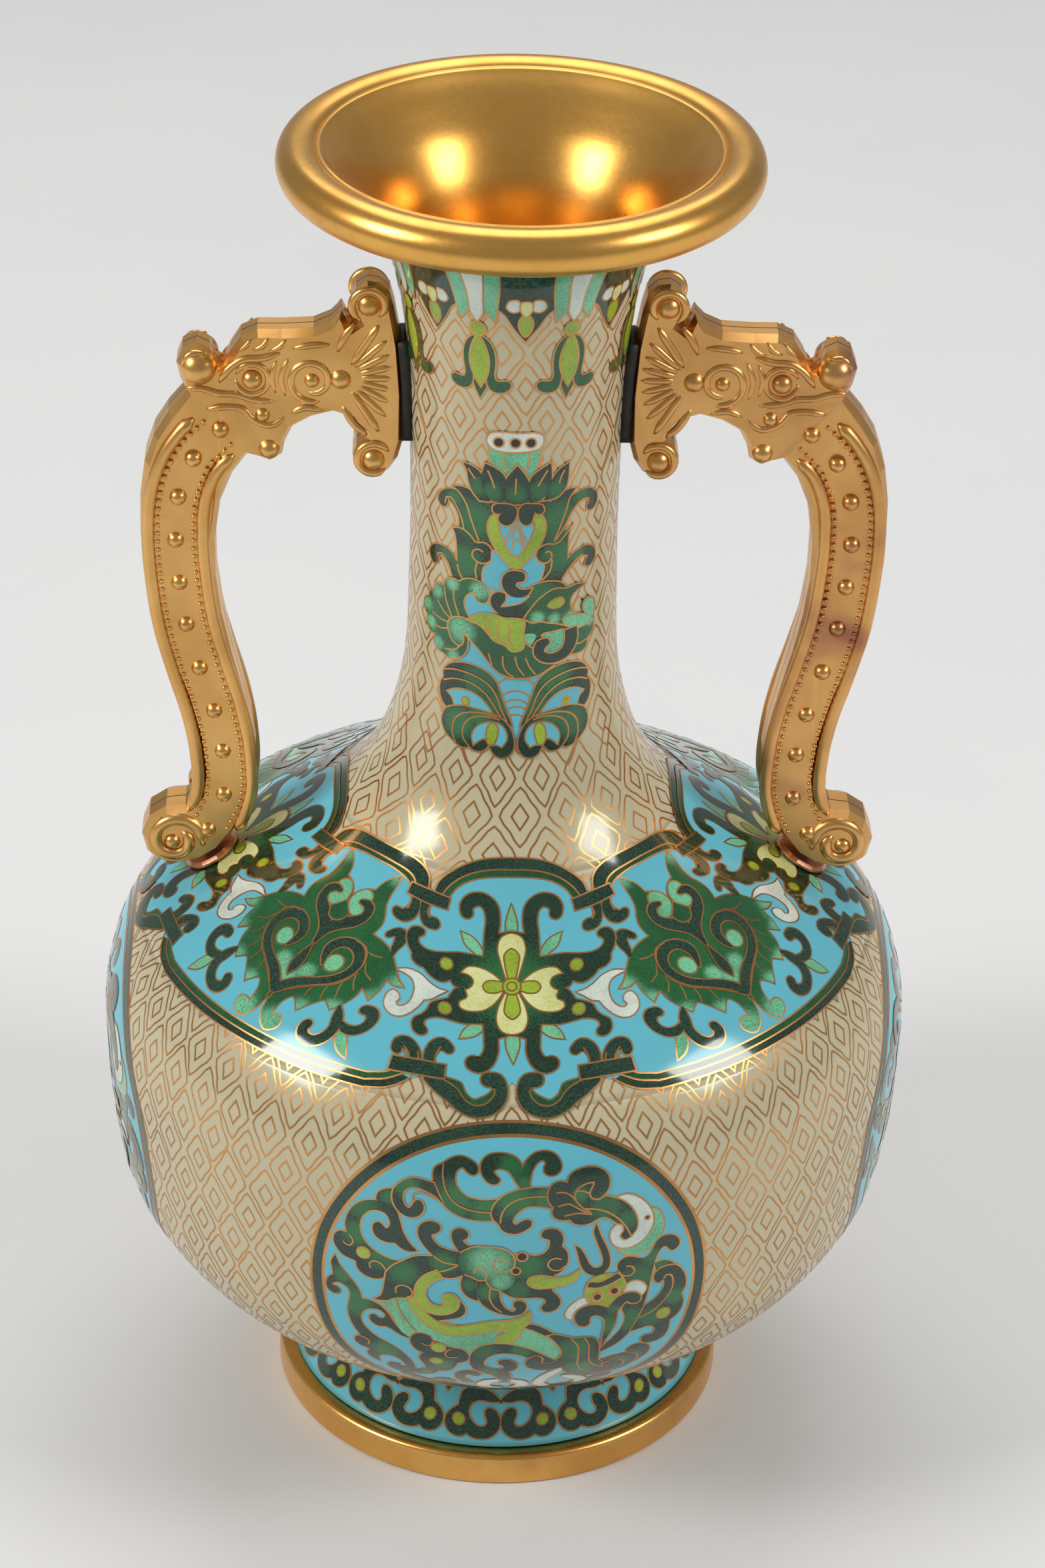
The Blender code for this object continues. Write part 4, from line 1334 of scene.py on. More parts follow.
    def left_body(self, art: Drawing) -> None:
        """Draws the scrolls down the left and the dragon's shoulder."""
        self.scroll(
            art, (-24.6, 111.0, 1), (-26.6, 111.6), (-29.2, 111.6), (-31.8, 110.7), (-33.8, 108.8),
                (-35.1, 106.2),
            (-35.5, 103.4), (-35.0, 101.5, 1), (-36.6, 101.6), (-37.9, 100.5), (-38.2, 98.6), (-37.4, 96.8),
            (-36.0, 95.4), (-34.2, 94.9), (-33.1, 94.6, 1), (-32.8, 93.0), (-31.6, 91.6), (-29.6, 90.9),
            (-27.6, 91.2), (-26.4, 92.4), (-26.2, 93.4, 1), (-24.6, 95.4), (-22.8, 96.9, 1), (-25.0, 96.9),
            (-27.6, 97.7), (-30.0, 99.2), (-31.7, 101.4), (-32.3, 104.2), (-31.7, 106.8), (-30.3, 108.6),
            (-28.4, 109.3), (-26.6, 108.9), (-25.6, 107.4), (-25.6, 105.8), (-26.4, 104.9), (-27.1, 105.7),
            (-28.1, 106.3), (-29.1, 105.6), (-29.3, 104.0), (-28.6, 102.4), (-27.0, 101.5), (-25.6, 101.4),
            (-24.4, 101.6, 1), (-23.0, 100.4), (-21.2, 99.9), (-19.6, 100.3, 1), (-21.2, 102.0),
            (-22.6, 104.6),
            (-23.4, 107.6), (-23.9, 109.6), glow=((-32.0, 110.0, 8.0), (-33.0, 102.0, 7.0),
            (-27.0, 97.0, 7.0)),
        )
        self.scroll(
            art, (-26.3, 93.2, 1), (-25.0, 95.2), (-22.9, 96.9), (-20.0, 98.8), (-16.0, 99.5, 1),
                (-17.8, 101.6),
            (-19.2, 104.0), (-19.4, 106.4), (-18.4, 108.0), (-16.6, 108.7), (-15.0, 108.0), (-14.8, 106.6),
            (-15.6, 105.7), (-16.6, 105.2), (-16.2, 103.8), (-14.8, 102.3), (-12.6, 101.5), (-10.6, 101.2, 1),
            (-11.7, 103.2), (-12.3, 105.2), (-12.1, 106.6), (-11.0, 107.5), (-9.6, 107.2), (-8.8, 106.2),
            (-9.2, 105.0), (-10.0, 104.4), (-9.3, 103.4), (-8.0, 102.9), (-4.0, 101.0), (-4.0, 96.0, 1),
            (-9.5, 95.3, 1), (-12.0, 94.2), (-14.0, 94.2), (-15.4, 95.2, 1), (-18.4, 93.6), (-19.6, 89.0),
            (-21.0, 87.3, 1), (-22.8, 87.0), (-24.4, 86.6), (-26.2, 85.4), (-28.9, 85.0, 1), (-27.5, 86.4),
            (-26.9, 88.4), (-26.6, 90.8), glow=((-22.5, 94.0, 7.0), (-14.0, 98.0, 6.0)), layer=4,
        )
        self.scroll(
            art, (-37.9, 94.8, 1), (-36.6, 92.0), (-34.6, 89.7), (-32.9, 87.4), (-32.1, 85.6),
                (-31.8, 84.1, 1),
            (-30.0, 84.2), (-27.8, 83.4), (-26.0, 81.6), (-24.8, 79.4), (-23.4, 77.3), (-21.0, 75.1, 1),
            (-22.8, 75.5), (-24.6, 76.7), (-26.2, 77.5), (-28.0, 77.2), (-29.6, 78.2), (-30.0, 79.7),
            (-29.0, 80.4),
            (-27.7, 79.6), (-26.7, 79.9), (-26.5, 81.0), (-27.7, 82.0), (-29.4, 82.0), (-31.0, 81.2),
            (-32.0, 79.4),
            (-31.8, 77.3), (-30.5, 75.3), (-28.4, 73.4), (-26.0, 72.0), (-23.6, 70.3), (-21.6, 67.7),
            (-20.2, 64.6),
            (-19.6, 61.6, 1), (-20.6, 59.6), (-22.8, 58.8), (-25.0, 59.8), (-25.9, 61.8), (-25.0, 63.2),
            (-23.4, 63.2), (-22.8, 62.0), (-21.8, 62.6), (-22.6, 65.2), (-24.2, 66.8), (-25.9, 67.1),
            (-27.5, 66.3),
            (-28.0, 64.6), (-27.8, 62.8, 1), (-29.2, 63.7), (-30.3, 65.2), (-30.4, 66.8), (-29.8, 67.7, 1),
            (-30.5, 68.4), (-32.0, 68.8), (-33.2, 70.0), (-33.3, 71.6), (-32.0, 72.8, 1), (-33.4, 75.0),
            (-34.5, 77.6), (-34.9, 80.4), (-34.5, 83.4), (-34.4, 85.2), (-35.2, 86.7), (-36.7, 87.4),
            (-38.1, 87.0),
            (-38.7, 86.1), (-37.6, 85.9), (-36.7, 85.3), (-36.9, 84.2), (-38.2, 83.8), (-39.6, 84.6),
            (-40.0, 86.3),
            (-39.5, 88.0), (-38.4, 89.2, 1), (-38.5, 90.8), (-38.8, 92.8),
            glow=((-33.5, 83.0, 9.0), (-26.0, 69.5, 7.0), (-36.0, 90.0, 5.0)),
        )
        for line in (
            ((-36.0, 99.2), (-35.2, 98.5), (-34.2, 98.7), (-33.7, 100.0), (-34.5, 101.4)),
            ((-29.7, 93.6), (-30.0, 94.8), (-29.0, 95.8), (-27.4, 95.4), (-26.4, 94.0)),
            ((-24.1, 88.0), (-24.1, 89.6), (-22.8, 90.5), (-21.1, 90.0), (-20.5, 88.5), (-21.2, 87.3)),
            ((-30.4, 70.2), (-30.0, 71.4), (-31.0, 72.5), (-32.4, 72.6)),
            ((-16.0, 99.5), (-14.0, 98.2), (-10.9, 97.8)), ((-10.9, 97.7), (-12.8, 96.4), (-15.4, 95.3)),
        ):
            art.wire(*line, layer=5)
        art.disc(Tone.LIME, -31.4, 97.3, 1.3, layer=4)

    def head(self, art: Drawing) -> None:
        """Draws the dragon's head, jaw, tongue and neck strands."""
        self.scroll(
            art, (-6.6, 94.2, 1), (-7.0, 91.6), (-6.4, 88.8), (-5.0, 86.7), (-3.0, 85.3), (-1.0, 84.5),
                (1.0, 84.2),
            (2.8, 84.8), (3.7, 86.4), (3.4, 87.8), (2.2, 88.5), (1.1, 88.0), (1.0, 87.0), (1.6, 86.0),
            (0.9, 85.3),
            (-0.6, 86.2), (-1.8, 88.4), (-2.2, 91.2, 1), (-2.0, 93.0), (-5.0, 95.0),
            glow=((-4.5, 91.0, 5.0),), layer=4,
        )
        self.scroll(
            art, (-9.6, 95.6, 1), (-10.2, 93.2), (-9.9, 91.0), (-8.6, 89.2), (-6.5, 88.3, 1), (-6.9, 90.4),
            (-7.0, 92.6), (-6.4, 95.0, 1), glow=((-8.5, 92.5, 3.5),), layer=4,
        )
        self.scroll(
            art, (0.0, 99.0, 1), (1.6, 101.4), (3.8, 101.0, 1), (5.4, 100.7), (7.0, 101.2), (8.0, 102.4),
                (8.3, 104.0),
            (8.1, 104.9), (7.2, 105.2), (6.5, 105.8), (6.7, 107.0), (8.2, 107.7), (9.9, 107.2), (10.9, 105.8),
            (11.0, 104.0), (10.8, 102.9, 1), (11.8, 101.6), (12.2, 99.8), (11.9, 97.8), (10.8, 96.2),
            (9.4, 95.3, 1),
            (9.0, 93.4), (9.1, 91.0), (10.4, 89.2), (10.9, 87.6), (10.2, 85.9), (8.8, 85.1), (7.4, 85.3),
            (6.9, 86.5),
            (7.8, 87.8), (7.4, 88.9), (5.8, 89.4), (3.4, 89.3), (1.0, 89.5), (-1.0, 90.7), (-2.6, 92.4),
            (-3.0, 96.0), glow=((4.0, 98.0, 7.5), (2.0, 91.5, 5.0)), layer=4,
        )
        art.cell(
            Tone.LEAF, (-8.0, 102.9), (-5.0, 103.0), (-2.0, 102.9), (-0.2, 102.0), (0.8, 100.4), (1.2, 98.6),
            (1.4, 95.5), (0.4, 92.6), (-1.6, 91.4), (-3.8, 92.0), (-5.0, 94.2, 1), (-6.6, 94.1), (-8.0, 94.8),
            (-9.4, 95.4, 1), (-10.8, 98.0), (-10.4, 101.0), layer=5, wired=False,
            tips=((-4.0, 99.0, 9.5), (-1.6, 94.0, 5.0)),
        )
        for line in (
            ((-10.6, 101.2), (-8.0, 102.9), (-5.0, 103.1), (-2.0, 102.9), (-0.2, 102.0), (0.9, 100.4),
            (1.0, 98.4),
             (0.2, 97.1), (-1.4, 96.7), (-3.0, 97.2), (-3.5, 98.4), (-2.8, 99.6), (-1.4, 99.8), (-0.4, 99.4)),
            ((-9.5, 95.4), (-8.0, 94.8), (-6.6, 94.1), (-5.2, 94.2), (-4.8, 95.6), (-5.2, 97.0), (-6.2, 97.6),
             (-7.3, 97.0), (-7.4, 95.8)),
            ((-5.0, 94.2), (-4.4, 92.8), (-3.4, 91.8), (-2.0, 91.5)),
            ((-4.0, 92.0), (-4.1, 89.4), (-3.2, 87.0),
                                                                       (-1.4, 85.2)),
            ((10.8, 99.5), (9.6, 99.9), (8.4, 99.4), (8.0, 98.0), (9.0, 96.8), (10.6, 96.7), (11.7, 97.8)),
        ):
            art.wire(*line, layer=6)
        art.disc(Tone.BLACK, 2.5, 100.6, 1.0, layer=6)
        art.disc(Tone.BLACK, 1.3, 96.8, 0.8, layer=6)
        art.cell(Tone.LIME, (3.9, 93.4), (4.2, 94.6), (5.6, 95.2), (8.0, 95.0), (10.0, 94.4), (12.4, 94.7),
            (13.7, 95.4),
                 (14.6, 96.1, 1), (14.4, 94.6), (13.2, 93.2), (11.0, 92.3), (8.0, 92.0), (5.8, 92.0),
                 (4.6, 92.6),
                 layer=5)

    def mane(self, art: Drawing) -> None:
        """Draws the pale body and the lime mane bands over it."""
        art.cell(Tone.MINT, (-28.9, 85.0, 1), (-26.4, 85.4), (-24.6, 86.6), (-22.8, 87.0), (-21.0, 87.3, 1),
                 (-16.0, 82.0), (-8.0, 80.5), (0.0, 81.0), (3.2, 81.2, 1), (5.2, 79.9), (7.8, 77.9),
                 (9.9, 75.6),
                 (11.3, 73.0), (11.4, 70.9), (10.4, 69.0, 1), (8.0, 71.2), (5.0, 73.4), (2.0, 74.9),
                 (-1.0, 75.5),
                 (-4.0, 75.2), (-6.4, 74.0), (-8.2, 71.6, 1), (-12.0, 73.5), (-16.0, 75.5), (-20.8, 75.4, 1),
                 (-22.4, 76.2), (-23.6, 78.0), (-24.8, 81.0), (-26.4, 83.6), layer=3)
        self.scroll(
            art, (-10.7, 88.4, 1), (-9.5, 86.6), (-9.2, 84.8), (-10.2, 83.3), (-12.4, 82.4), (-14.4, 81.8),
            (-15.8, 81.2, 1), (-17.6, 83.2), (-18.6, 85.0), (-14.0, 84.6), (-11.6, 85.6), layer=4,
        )
        art.cell(Tone.LIME, (-21.3, 87.4, 1), (-20.6, 84.6), (-19.0, 82.0), (-17.0, 79.8), (-14.0, 78.3),
            (-11.0, 77.9),
                 (-8.0, 78.4), (-5.0, 79.4), (-2.4, 80.0), (-0.6, 79.9), (-0.4, 79.0), (-1.4, 78.6),
                 (-2.4, 77.8),
                 (-2.2, 76.5), (-0.6, 76.0), (1.0, 76.5), (2.2, 78.0), (2.4, 80.2), (3.8, 81.4), (4.6, 83.0),
                 (4.4, 85.2, 1), (2.6, 83.5), (0.0, 82.7), (-4.0, 82.3), (-7.5, 81.2), (-11.5, 80.3),
                 (-14.6, 80.9),
                 (-17.2, 82.9), (-18.9, 85.4), (-19.6, 87.4), layer=5)
        art.cell(Tone.LIME, (-15.4, 95.8, 1), (-17.8, 94.2), (-19.5, 91.6), (-19.9, 88.8), (-19.0, 85.8),
            (-17.0, 84.0),
                 (-15.0, 83.6), (-12.8, 84.1), (-11.1, 85.5), (-10.6, 87.4), (-11.1, 89.0), (-12.3, 89.7),
                 (-13.6, 89.2), (-13.9, 87.9), (-13.6, 86.6), (-14.8, 85.9), (-16.4, 86.4), (-17.6, 88.0),
                 (-17.8, 90.2), (-16.6, 92.4), (-14.3, 94.1, 1), layer=6)
        art.wire((-24.2, 86.4), (-23.4, 83.4), (-22.0, 80.6), (-19.6, 77.4), layer=5)

    def tail(self, art: Drawing) -> None:
        """Draws the scrolls and tail strands along the bottom."""
        self.scroll(
            art, (-20.9, 74.4), (-20.2, 76.4), (-18.4, 77.1), (-16.6, 76.4), (-15.9, 74.8), (-13.4, 74.0),
            (-11.6, 73.4), (-9.8, 73.2), (-8.6, 72.0), (-8.2, 70.4), (-9.0, 68.8), (-10.6, 67.9, 1),
            (-11.0, 66.2),
            (-11.7, 64.6), (-13.2, 63.3), (-14.8, 62.8, 1), (-15.4, 61.2), (-17.0, 59.8), (-19.4, 59.2),
            (-21.4, 59.4, 1), (-19.4, 61.4), (-18.0, 62.6), (-17.4, 64.2), (-18.0, 66.2), (-18.8, 68.2),
            (-18.6, 69.8), (-17.8, 70.7, 1), (-19.6, 71.6), glow=((-14.0, 66.5, 6.0), (-17.0, 61.5, 4.0)),
            layer=4,
        )
        self.scroll(
            art, (-8.0, 69.4), (-7.5, 72.4), (-5.7, 74.6), (-3.0, 75.5), (0.0, 75.4), (3.0, 74.5),
                (6.0, 72.8),
            (8.4, 70.8), (10.4, 69.0, 1), (9.2, 68.1), (8.0, 67.9), (7.2, 68.4), (7.4, 69.6), (7.1, 70.9),
            (6.2, 71.3), (4.6, 70.9), (2.6, 71.9), (0.0, 72.5), (-2.4, 72.2), (-4.2, 70.8), (-5.0, 68.8),
            (-4.6, 67.0), (-3.2, 65.8), (-1.6, 65.6), (-0.8, 66.4), (-0.8, 67.4), (-1.9, 68.3), (-1.8, 69.4),
            (-0.6, 70.0), (0.9, 69.7), (2.0, 68.4), (2.2, 66.8), (1.4, 65.2), (0.4, 64.4, 1), (0.9, 62.4),
            (1.1, 59.6),
            (0.6, 57.4, 1), (-1.4, 57.4, 1), (-1.7, 60.0), (-3.0, 62.2), (-5.2, 63.8), (-7.1, 65.6),
            glow=((-5.0, 73.0, 6.0), (3.0, 73.5, 5.0), (-4.0, 64.0, 5.0)), layer=4,
        )
        self.scroll(
            art, (20.0, 67.0, 1), (22.6, 68.0), (25.8, 68.4), (26.0, 69.8), (27.6, 71.1), (29.6, 70.9),
                (31.2, 69.4),
            (31.2, 67.0), (29.8, 64.6), (27.0, 62.0), (24.0, 60.5), (20.0, 60.5, 1),
            glow=((26.0, 66.0, 7.0),),
        )
        self.scroll(
            art, (19.6, 66.2, 1), (22.4, 67.2), (24.8, 68.0), (27.2, 67.8), (28.5, 66.2), (28.2, 64.0),
                (26.6, 61.8),
            (23.6, 60.0), (20.0, 59.2), (16.0, 60.0, 1), glow=((24.0, 65.0, 6.0),), layer=4,
        )
        self.scroll(
            art, (8.6, 77.9, 1), (10.0, 78.1), (12.0, 77.4), (14.4, 76.5), (16.6, 76.4), (18.6, 75.8),
                (19.5, 74.0),
            (19.7, 70.6), (19.8, 67.6), (20.8, 66.2), (22.6, 66.4), (24.6, 65.6), (25.4, 63.8), (24.6, 62.0),
            (22.0, 60.4), (19.0, 59.4), (16.0, 59.8), (13.6, 61.8), (12.2, 64.2), (12.0, 66.0, 1),
            (9.6, 65.1),
            (7.4, 65.1), (5.4, 66.0), (4.2, 67.3), (4.0, 69.0), (4.8, 70.6), (6.2, 71.3), (7.2, 70.8),
            (7.4, 69.6),
            (7.2, 68.4), (8.0, 67.9), (9.4, 68.1), (10.6, 69.2, 1), (11.6, 71.2), (11.4, 73.4), (10.2, 75.8),
            glow=((14.0, 73.0, 8.0), (15.5, 65.0, 7.0)), layer=5,
        )
        self.scroll(
            art, (2.8, 80.8, 1), (4.4, 81.5), (6.6, 80.8), (8.8, 79.2), (10.2, 77.9, 1), (8.6, 77.6),
                (7.0, 78.6),
            (5.0, 79.9), layer=4,
        )
        for line in (
            ((-18.4, 74.3), (-17.4, 73.6), (-16.4, 74.0), (-16.0, 75.2)),
            ((-10.6, 70.6), (-12.0, 70.1), (-13.2, 70.8), (-13.0, 72.4), (-12.0, 73.3)),
            ((13.4, 76.7), (15.0, 74.0), (15.2, 70.0), (15.2, 66.6), (16.4, 63.6), (18.6, 61.4),
            (21.4, 60.9)),
            ((16.4, 76.4), (17.4, 74.0), (17.5, 70.0), (18.0, 67.0), (19.6, 64.6), (21.4, 63.6)),
            ((20.6, 64.4), (20.8, 65.8), (22.2, 66.4)),
        ):
            art.wire(*line, layer=6)
        art.disc(Tone.LIME, -14.8, 73.3, 1.4, layer=5)
        art.disc(Tone.LIME, -15.2, 68.0, 1.2, layer=5)

    def small_beast(self, art: Drawing) -> None:
        """Draws the small beast's face and the scrolls on the right."""
        self.scroll(
            art, (23.0, 95.6), (23.6, 97.2), (25.2, 97.9), (27.0, 97.4), (28.6, 96.8), (30.0, 97.4),
                (31.0, 99.2),
            (31.8, 100.8), (33.4, 101.6), (35.4, 101.2), (36.8, 99.8), (36.9, 98.2), (35.8, 97.2),
            (34.8, 97.5),
            (34.1, 98.5), (33.3, 98.8), (32.3, 97.8), (31.5, 95.6), (30.9, 92.4), (30.2, 88.0), (29.4, 84.0),
            (28.2, 79.8), (26.4, 76.2), (23.6, 73.0), (19.8, 70.6, 1), (20.3, 74.0), (22.5, 77.0),
            (24.0, 82.0),
            (24.4, 86.0), (24.4, 92.0), glow=((28.0, 92.0, 7.0), (26.5, 80.0, 7.0), (30.5, 97.0, 5.0)),
        )
        self.scroll(
            art, (26.6, 76.2, 1), (28.8, 76.6), (30.8, 76.8), (32.0, 76.0), (32.3, 74.8), (31.8, 73.8),
                (30.8, 73.8),
            (29.6, 73.6), (29.2, 72.4), (30.0, 71.2), (32.0, 70.9), (34.0, 71.6), (35.2, 73.4), (35.6, 75.6),
            (35.6, 77.0, 1), (37.0, 78.0), (38.2, 79.6), (38.6, 82.0), (38.0, 84.2, 1), (38.9, 86.0),
            (38.9, 88.4),
            (38.0, 91.0), (36.4, 92.8), (34.4, 93.2), (32.6, 92.8), (31.4, 91.4), (31.6, 89.8), (32.6, 89.0),
            (33.5, 89.7), (33.9, 88.0), (33.0, 85.8), (31.4, 84.2), (29.6, 82.9), (28.4, 80.0, 1),
            glow=((31.0, 79.5, 6.0), (36.5, 84.0, 5.0)), layer=4,
        )
        self.scroll(
            art, (31.4, 94.7, 1), (33.2, 95.0), (35.0, 94.3), (36.6, 92.7, 1), (34.4, 92.9), (31.8, 92.4, 1),
            glow=((33.0, 94.0, 4.0),),
        )
        art.cell(Tone.WHITE, (24.0, 88.6, 1), (25.2, 90.3), (26.8, 91.0), (28.6, 90.2), (29.6, 88.6),
            (29.2, 87.2),
                 (28.2, 86.4), (26.6, 87.0), (24.6, 87.0), layer=4)
        art.cell(Tone.WHITE, (17.6, 88.0, 1), (15.6, 88.2), (13.8, 87.0), (12.4, 85.2), (12.1, 83.4),
            (12.8, 82.5),
                 (14.4, 82.4), (15.0, 84.2), (17.4, 85.6), layer=3)
        art.cell(Tone.LIME, (16.4, 91.2), (17.2, 93.0), (19.4, 94.0), (22.4, 93.8), (24.4, 92.0),
            (24.8, 90.0),
                 (24.2, 88.2), (23.0, 86.6), (21.4, 84.2, 1), (20.0, 85.0), (18.0, 85.8), (17.0, 87.2),
                 (16.3, 89.2),
                 layer=5)
        self.scroll(
            art, (16.6, 91.3, 1), (18.6, 90.9), (21.0, 91.3), (23.2, 92.4), (24.0, 92.8, 1), (23.0, 93.9),
                (21.6, 93.2),
            (19.4, 92.2), (17.0, 92.4), layer=6,
        )
        for across, run in ((18.8, 88.2), (22.5, 89.3)):
            art.disc(Tone.LIME, across, run, 1.15, layer=6)
            art.disc(Tone.BLACK, across, run, 0.8, layer=7)
        self.scroll(
            art, (20.2, 73.0, 1), (20.4, 76.6), (20.8, 79.6), (20.4, 81.6), (18.8, 82.9), (17.5, 82.6),
                (17.3, 81.5),
            (17.3, 80.6), (16.4, 80.0), (15.2, 80.3), (14.3, 81.6), (14.1, 83.3), (15.0, 85.0), (16.8, 85.9),
            (19.0, 85.8), (21.3, 84.5, 1), (22.2, 85.9), (23.4, 87.3), (25.2, 88.0), (27.2, 87.7),
            (28.4, 86.5),
            (28.2, 85.1), (27.2, 84.7), (26.1, 85.0), (25.5, 85.7), (24.5, 84.9), (24.0, 83.0), (24.2, 80.6),
            (23.2, 78.0), (21.6, 75.0), glow=((21.5, 79.5, 6.0), (22.5, 84.0, 3.0)), layer=6,
        )
        art.cell(Tone.TURQUOISE, (20.8, 74.0, 1), (22.2, 77.0), (23.4, 80.0), (23.8, 84.0, 1), (24.7, 81.0),
                 (24.0, 78.2), (22.4, 75.8), layer=7)
        for line in (
            ((24.9, 95.6), (26.2, 95.2), (26.8, 93.8), (25.8, 92.8), (24.2, 93.2), (23.2, 94.6)),
            ((28.4, 79.9), (31.2, 81.0), (33.8, 83.2), (35.5, 86.0), (35.9, 88.6), (35.2, 90.6), (34.2, 90.8),
             (33.6, 89.8)),
        ):
            art.wire(*line, layer=5)
        art.disc(Tone.LIME, 34.0, 79.7, 1.4, layer=5)

    def foot_curls(self, art: Drawing) -> None:
        """Draws the waves and curls at the foot of the panel."""
        glow = ((0.0, 56.0, 14.0),)
        for points in (
            ((-8.2, 56.4, 1.2), (-9.9, 59.6, 1.1), (-9.6, 62.2, 1.1), (-7.9, 63.2, 1.1), (-6.6, 62.4, 1.1)),
            ((-22.0, 57.6, 0.9), (-17.0, 54.4, 1.3), (-11.0, 52.2, 1.4), (-5.0, 49.6, 1.3), (0.0, 48.8, 1.2),
             (5.0, 49.6, 1.3), (11.0, 52.2, 1.4), (17.0, 54.6, 1.3), (22.0, 57.6, 0.9)),
            ((-15.0, 53.6, 0.9), (-14.6, 56.4, 1.0), (-12.8, 57.2, 1.0), (-11.8, 56.0, 1.0)),
            ((19.6, 55.8, 0.9), (20.0, 57.6, 0.9), (21.8, 58.4, 0.9)),
        ):
            art.stroke(Tone.SHADOW, *points, layer=3)
            art.patches[-1].tips = glow
        for points in (
            ((-1.6, 59.0, 0.7), (-3.8, 57.9, 1.2), (-4.9, 55.2, 1.4), (-3.9, 52.6, 1.3), (-1.8, 52.4, 1.1)),
            ((1.0, 59.0, 0.7), (3.0, 57.6, 1.2), (3.4, 55.0, 1.3), (2.0, 53.4, 1.0)),
            ((11.8, 65.0, 0.7), (9.6, 62.6, 1.1), (7.8, 59.6, 1.2), (7.0, 56.2, 1.2), (8.2, 53.8, 1.1)),
            ((12.6, 60.4, 0.7), (14.8, 58.8, 1.2), (16.2, 56.6, 1.2), (15.4, 55.0, 0.9)),
        ):
            art.stroke(Tone.WHITE, *points, layer=4)


# ---------------------------------------------------------------------------------------------
# The neck's flower with its fish, and the collar
# ---------------------------------------------------------------------------------------------


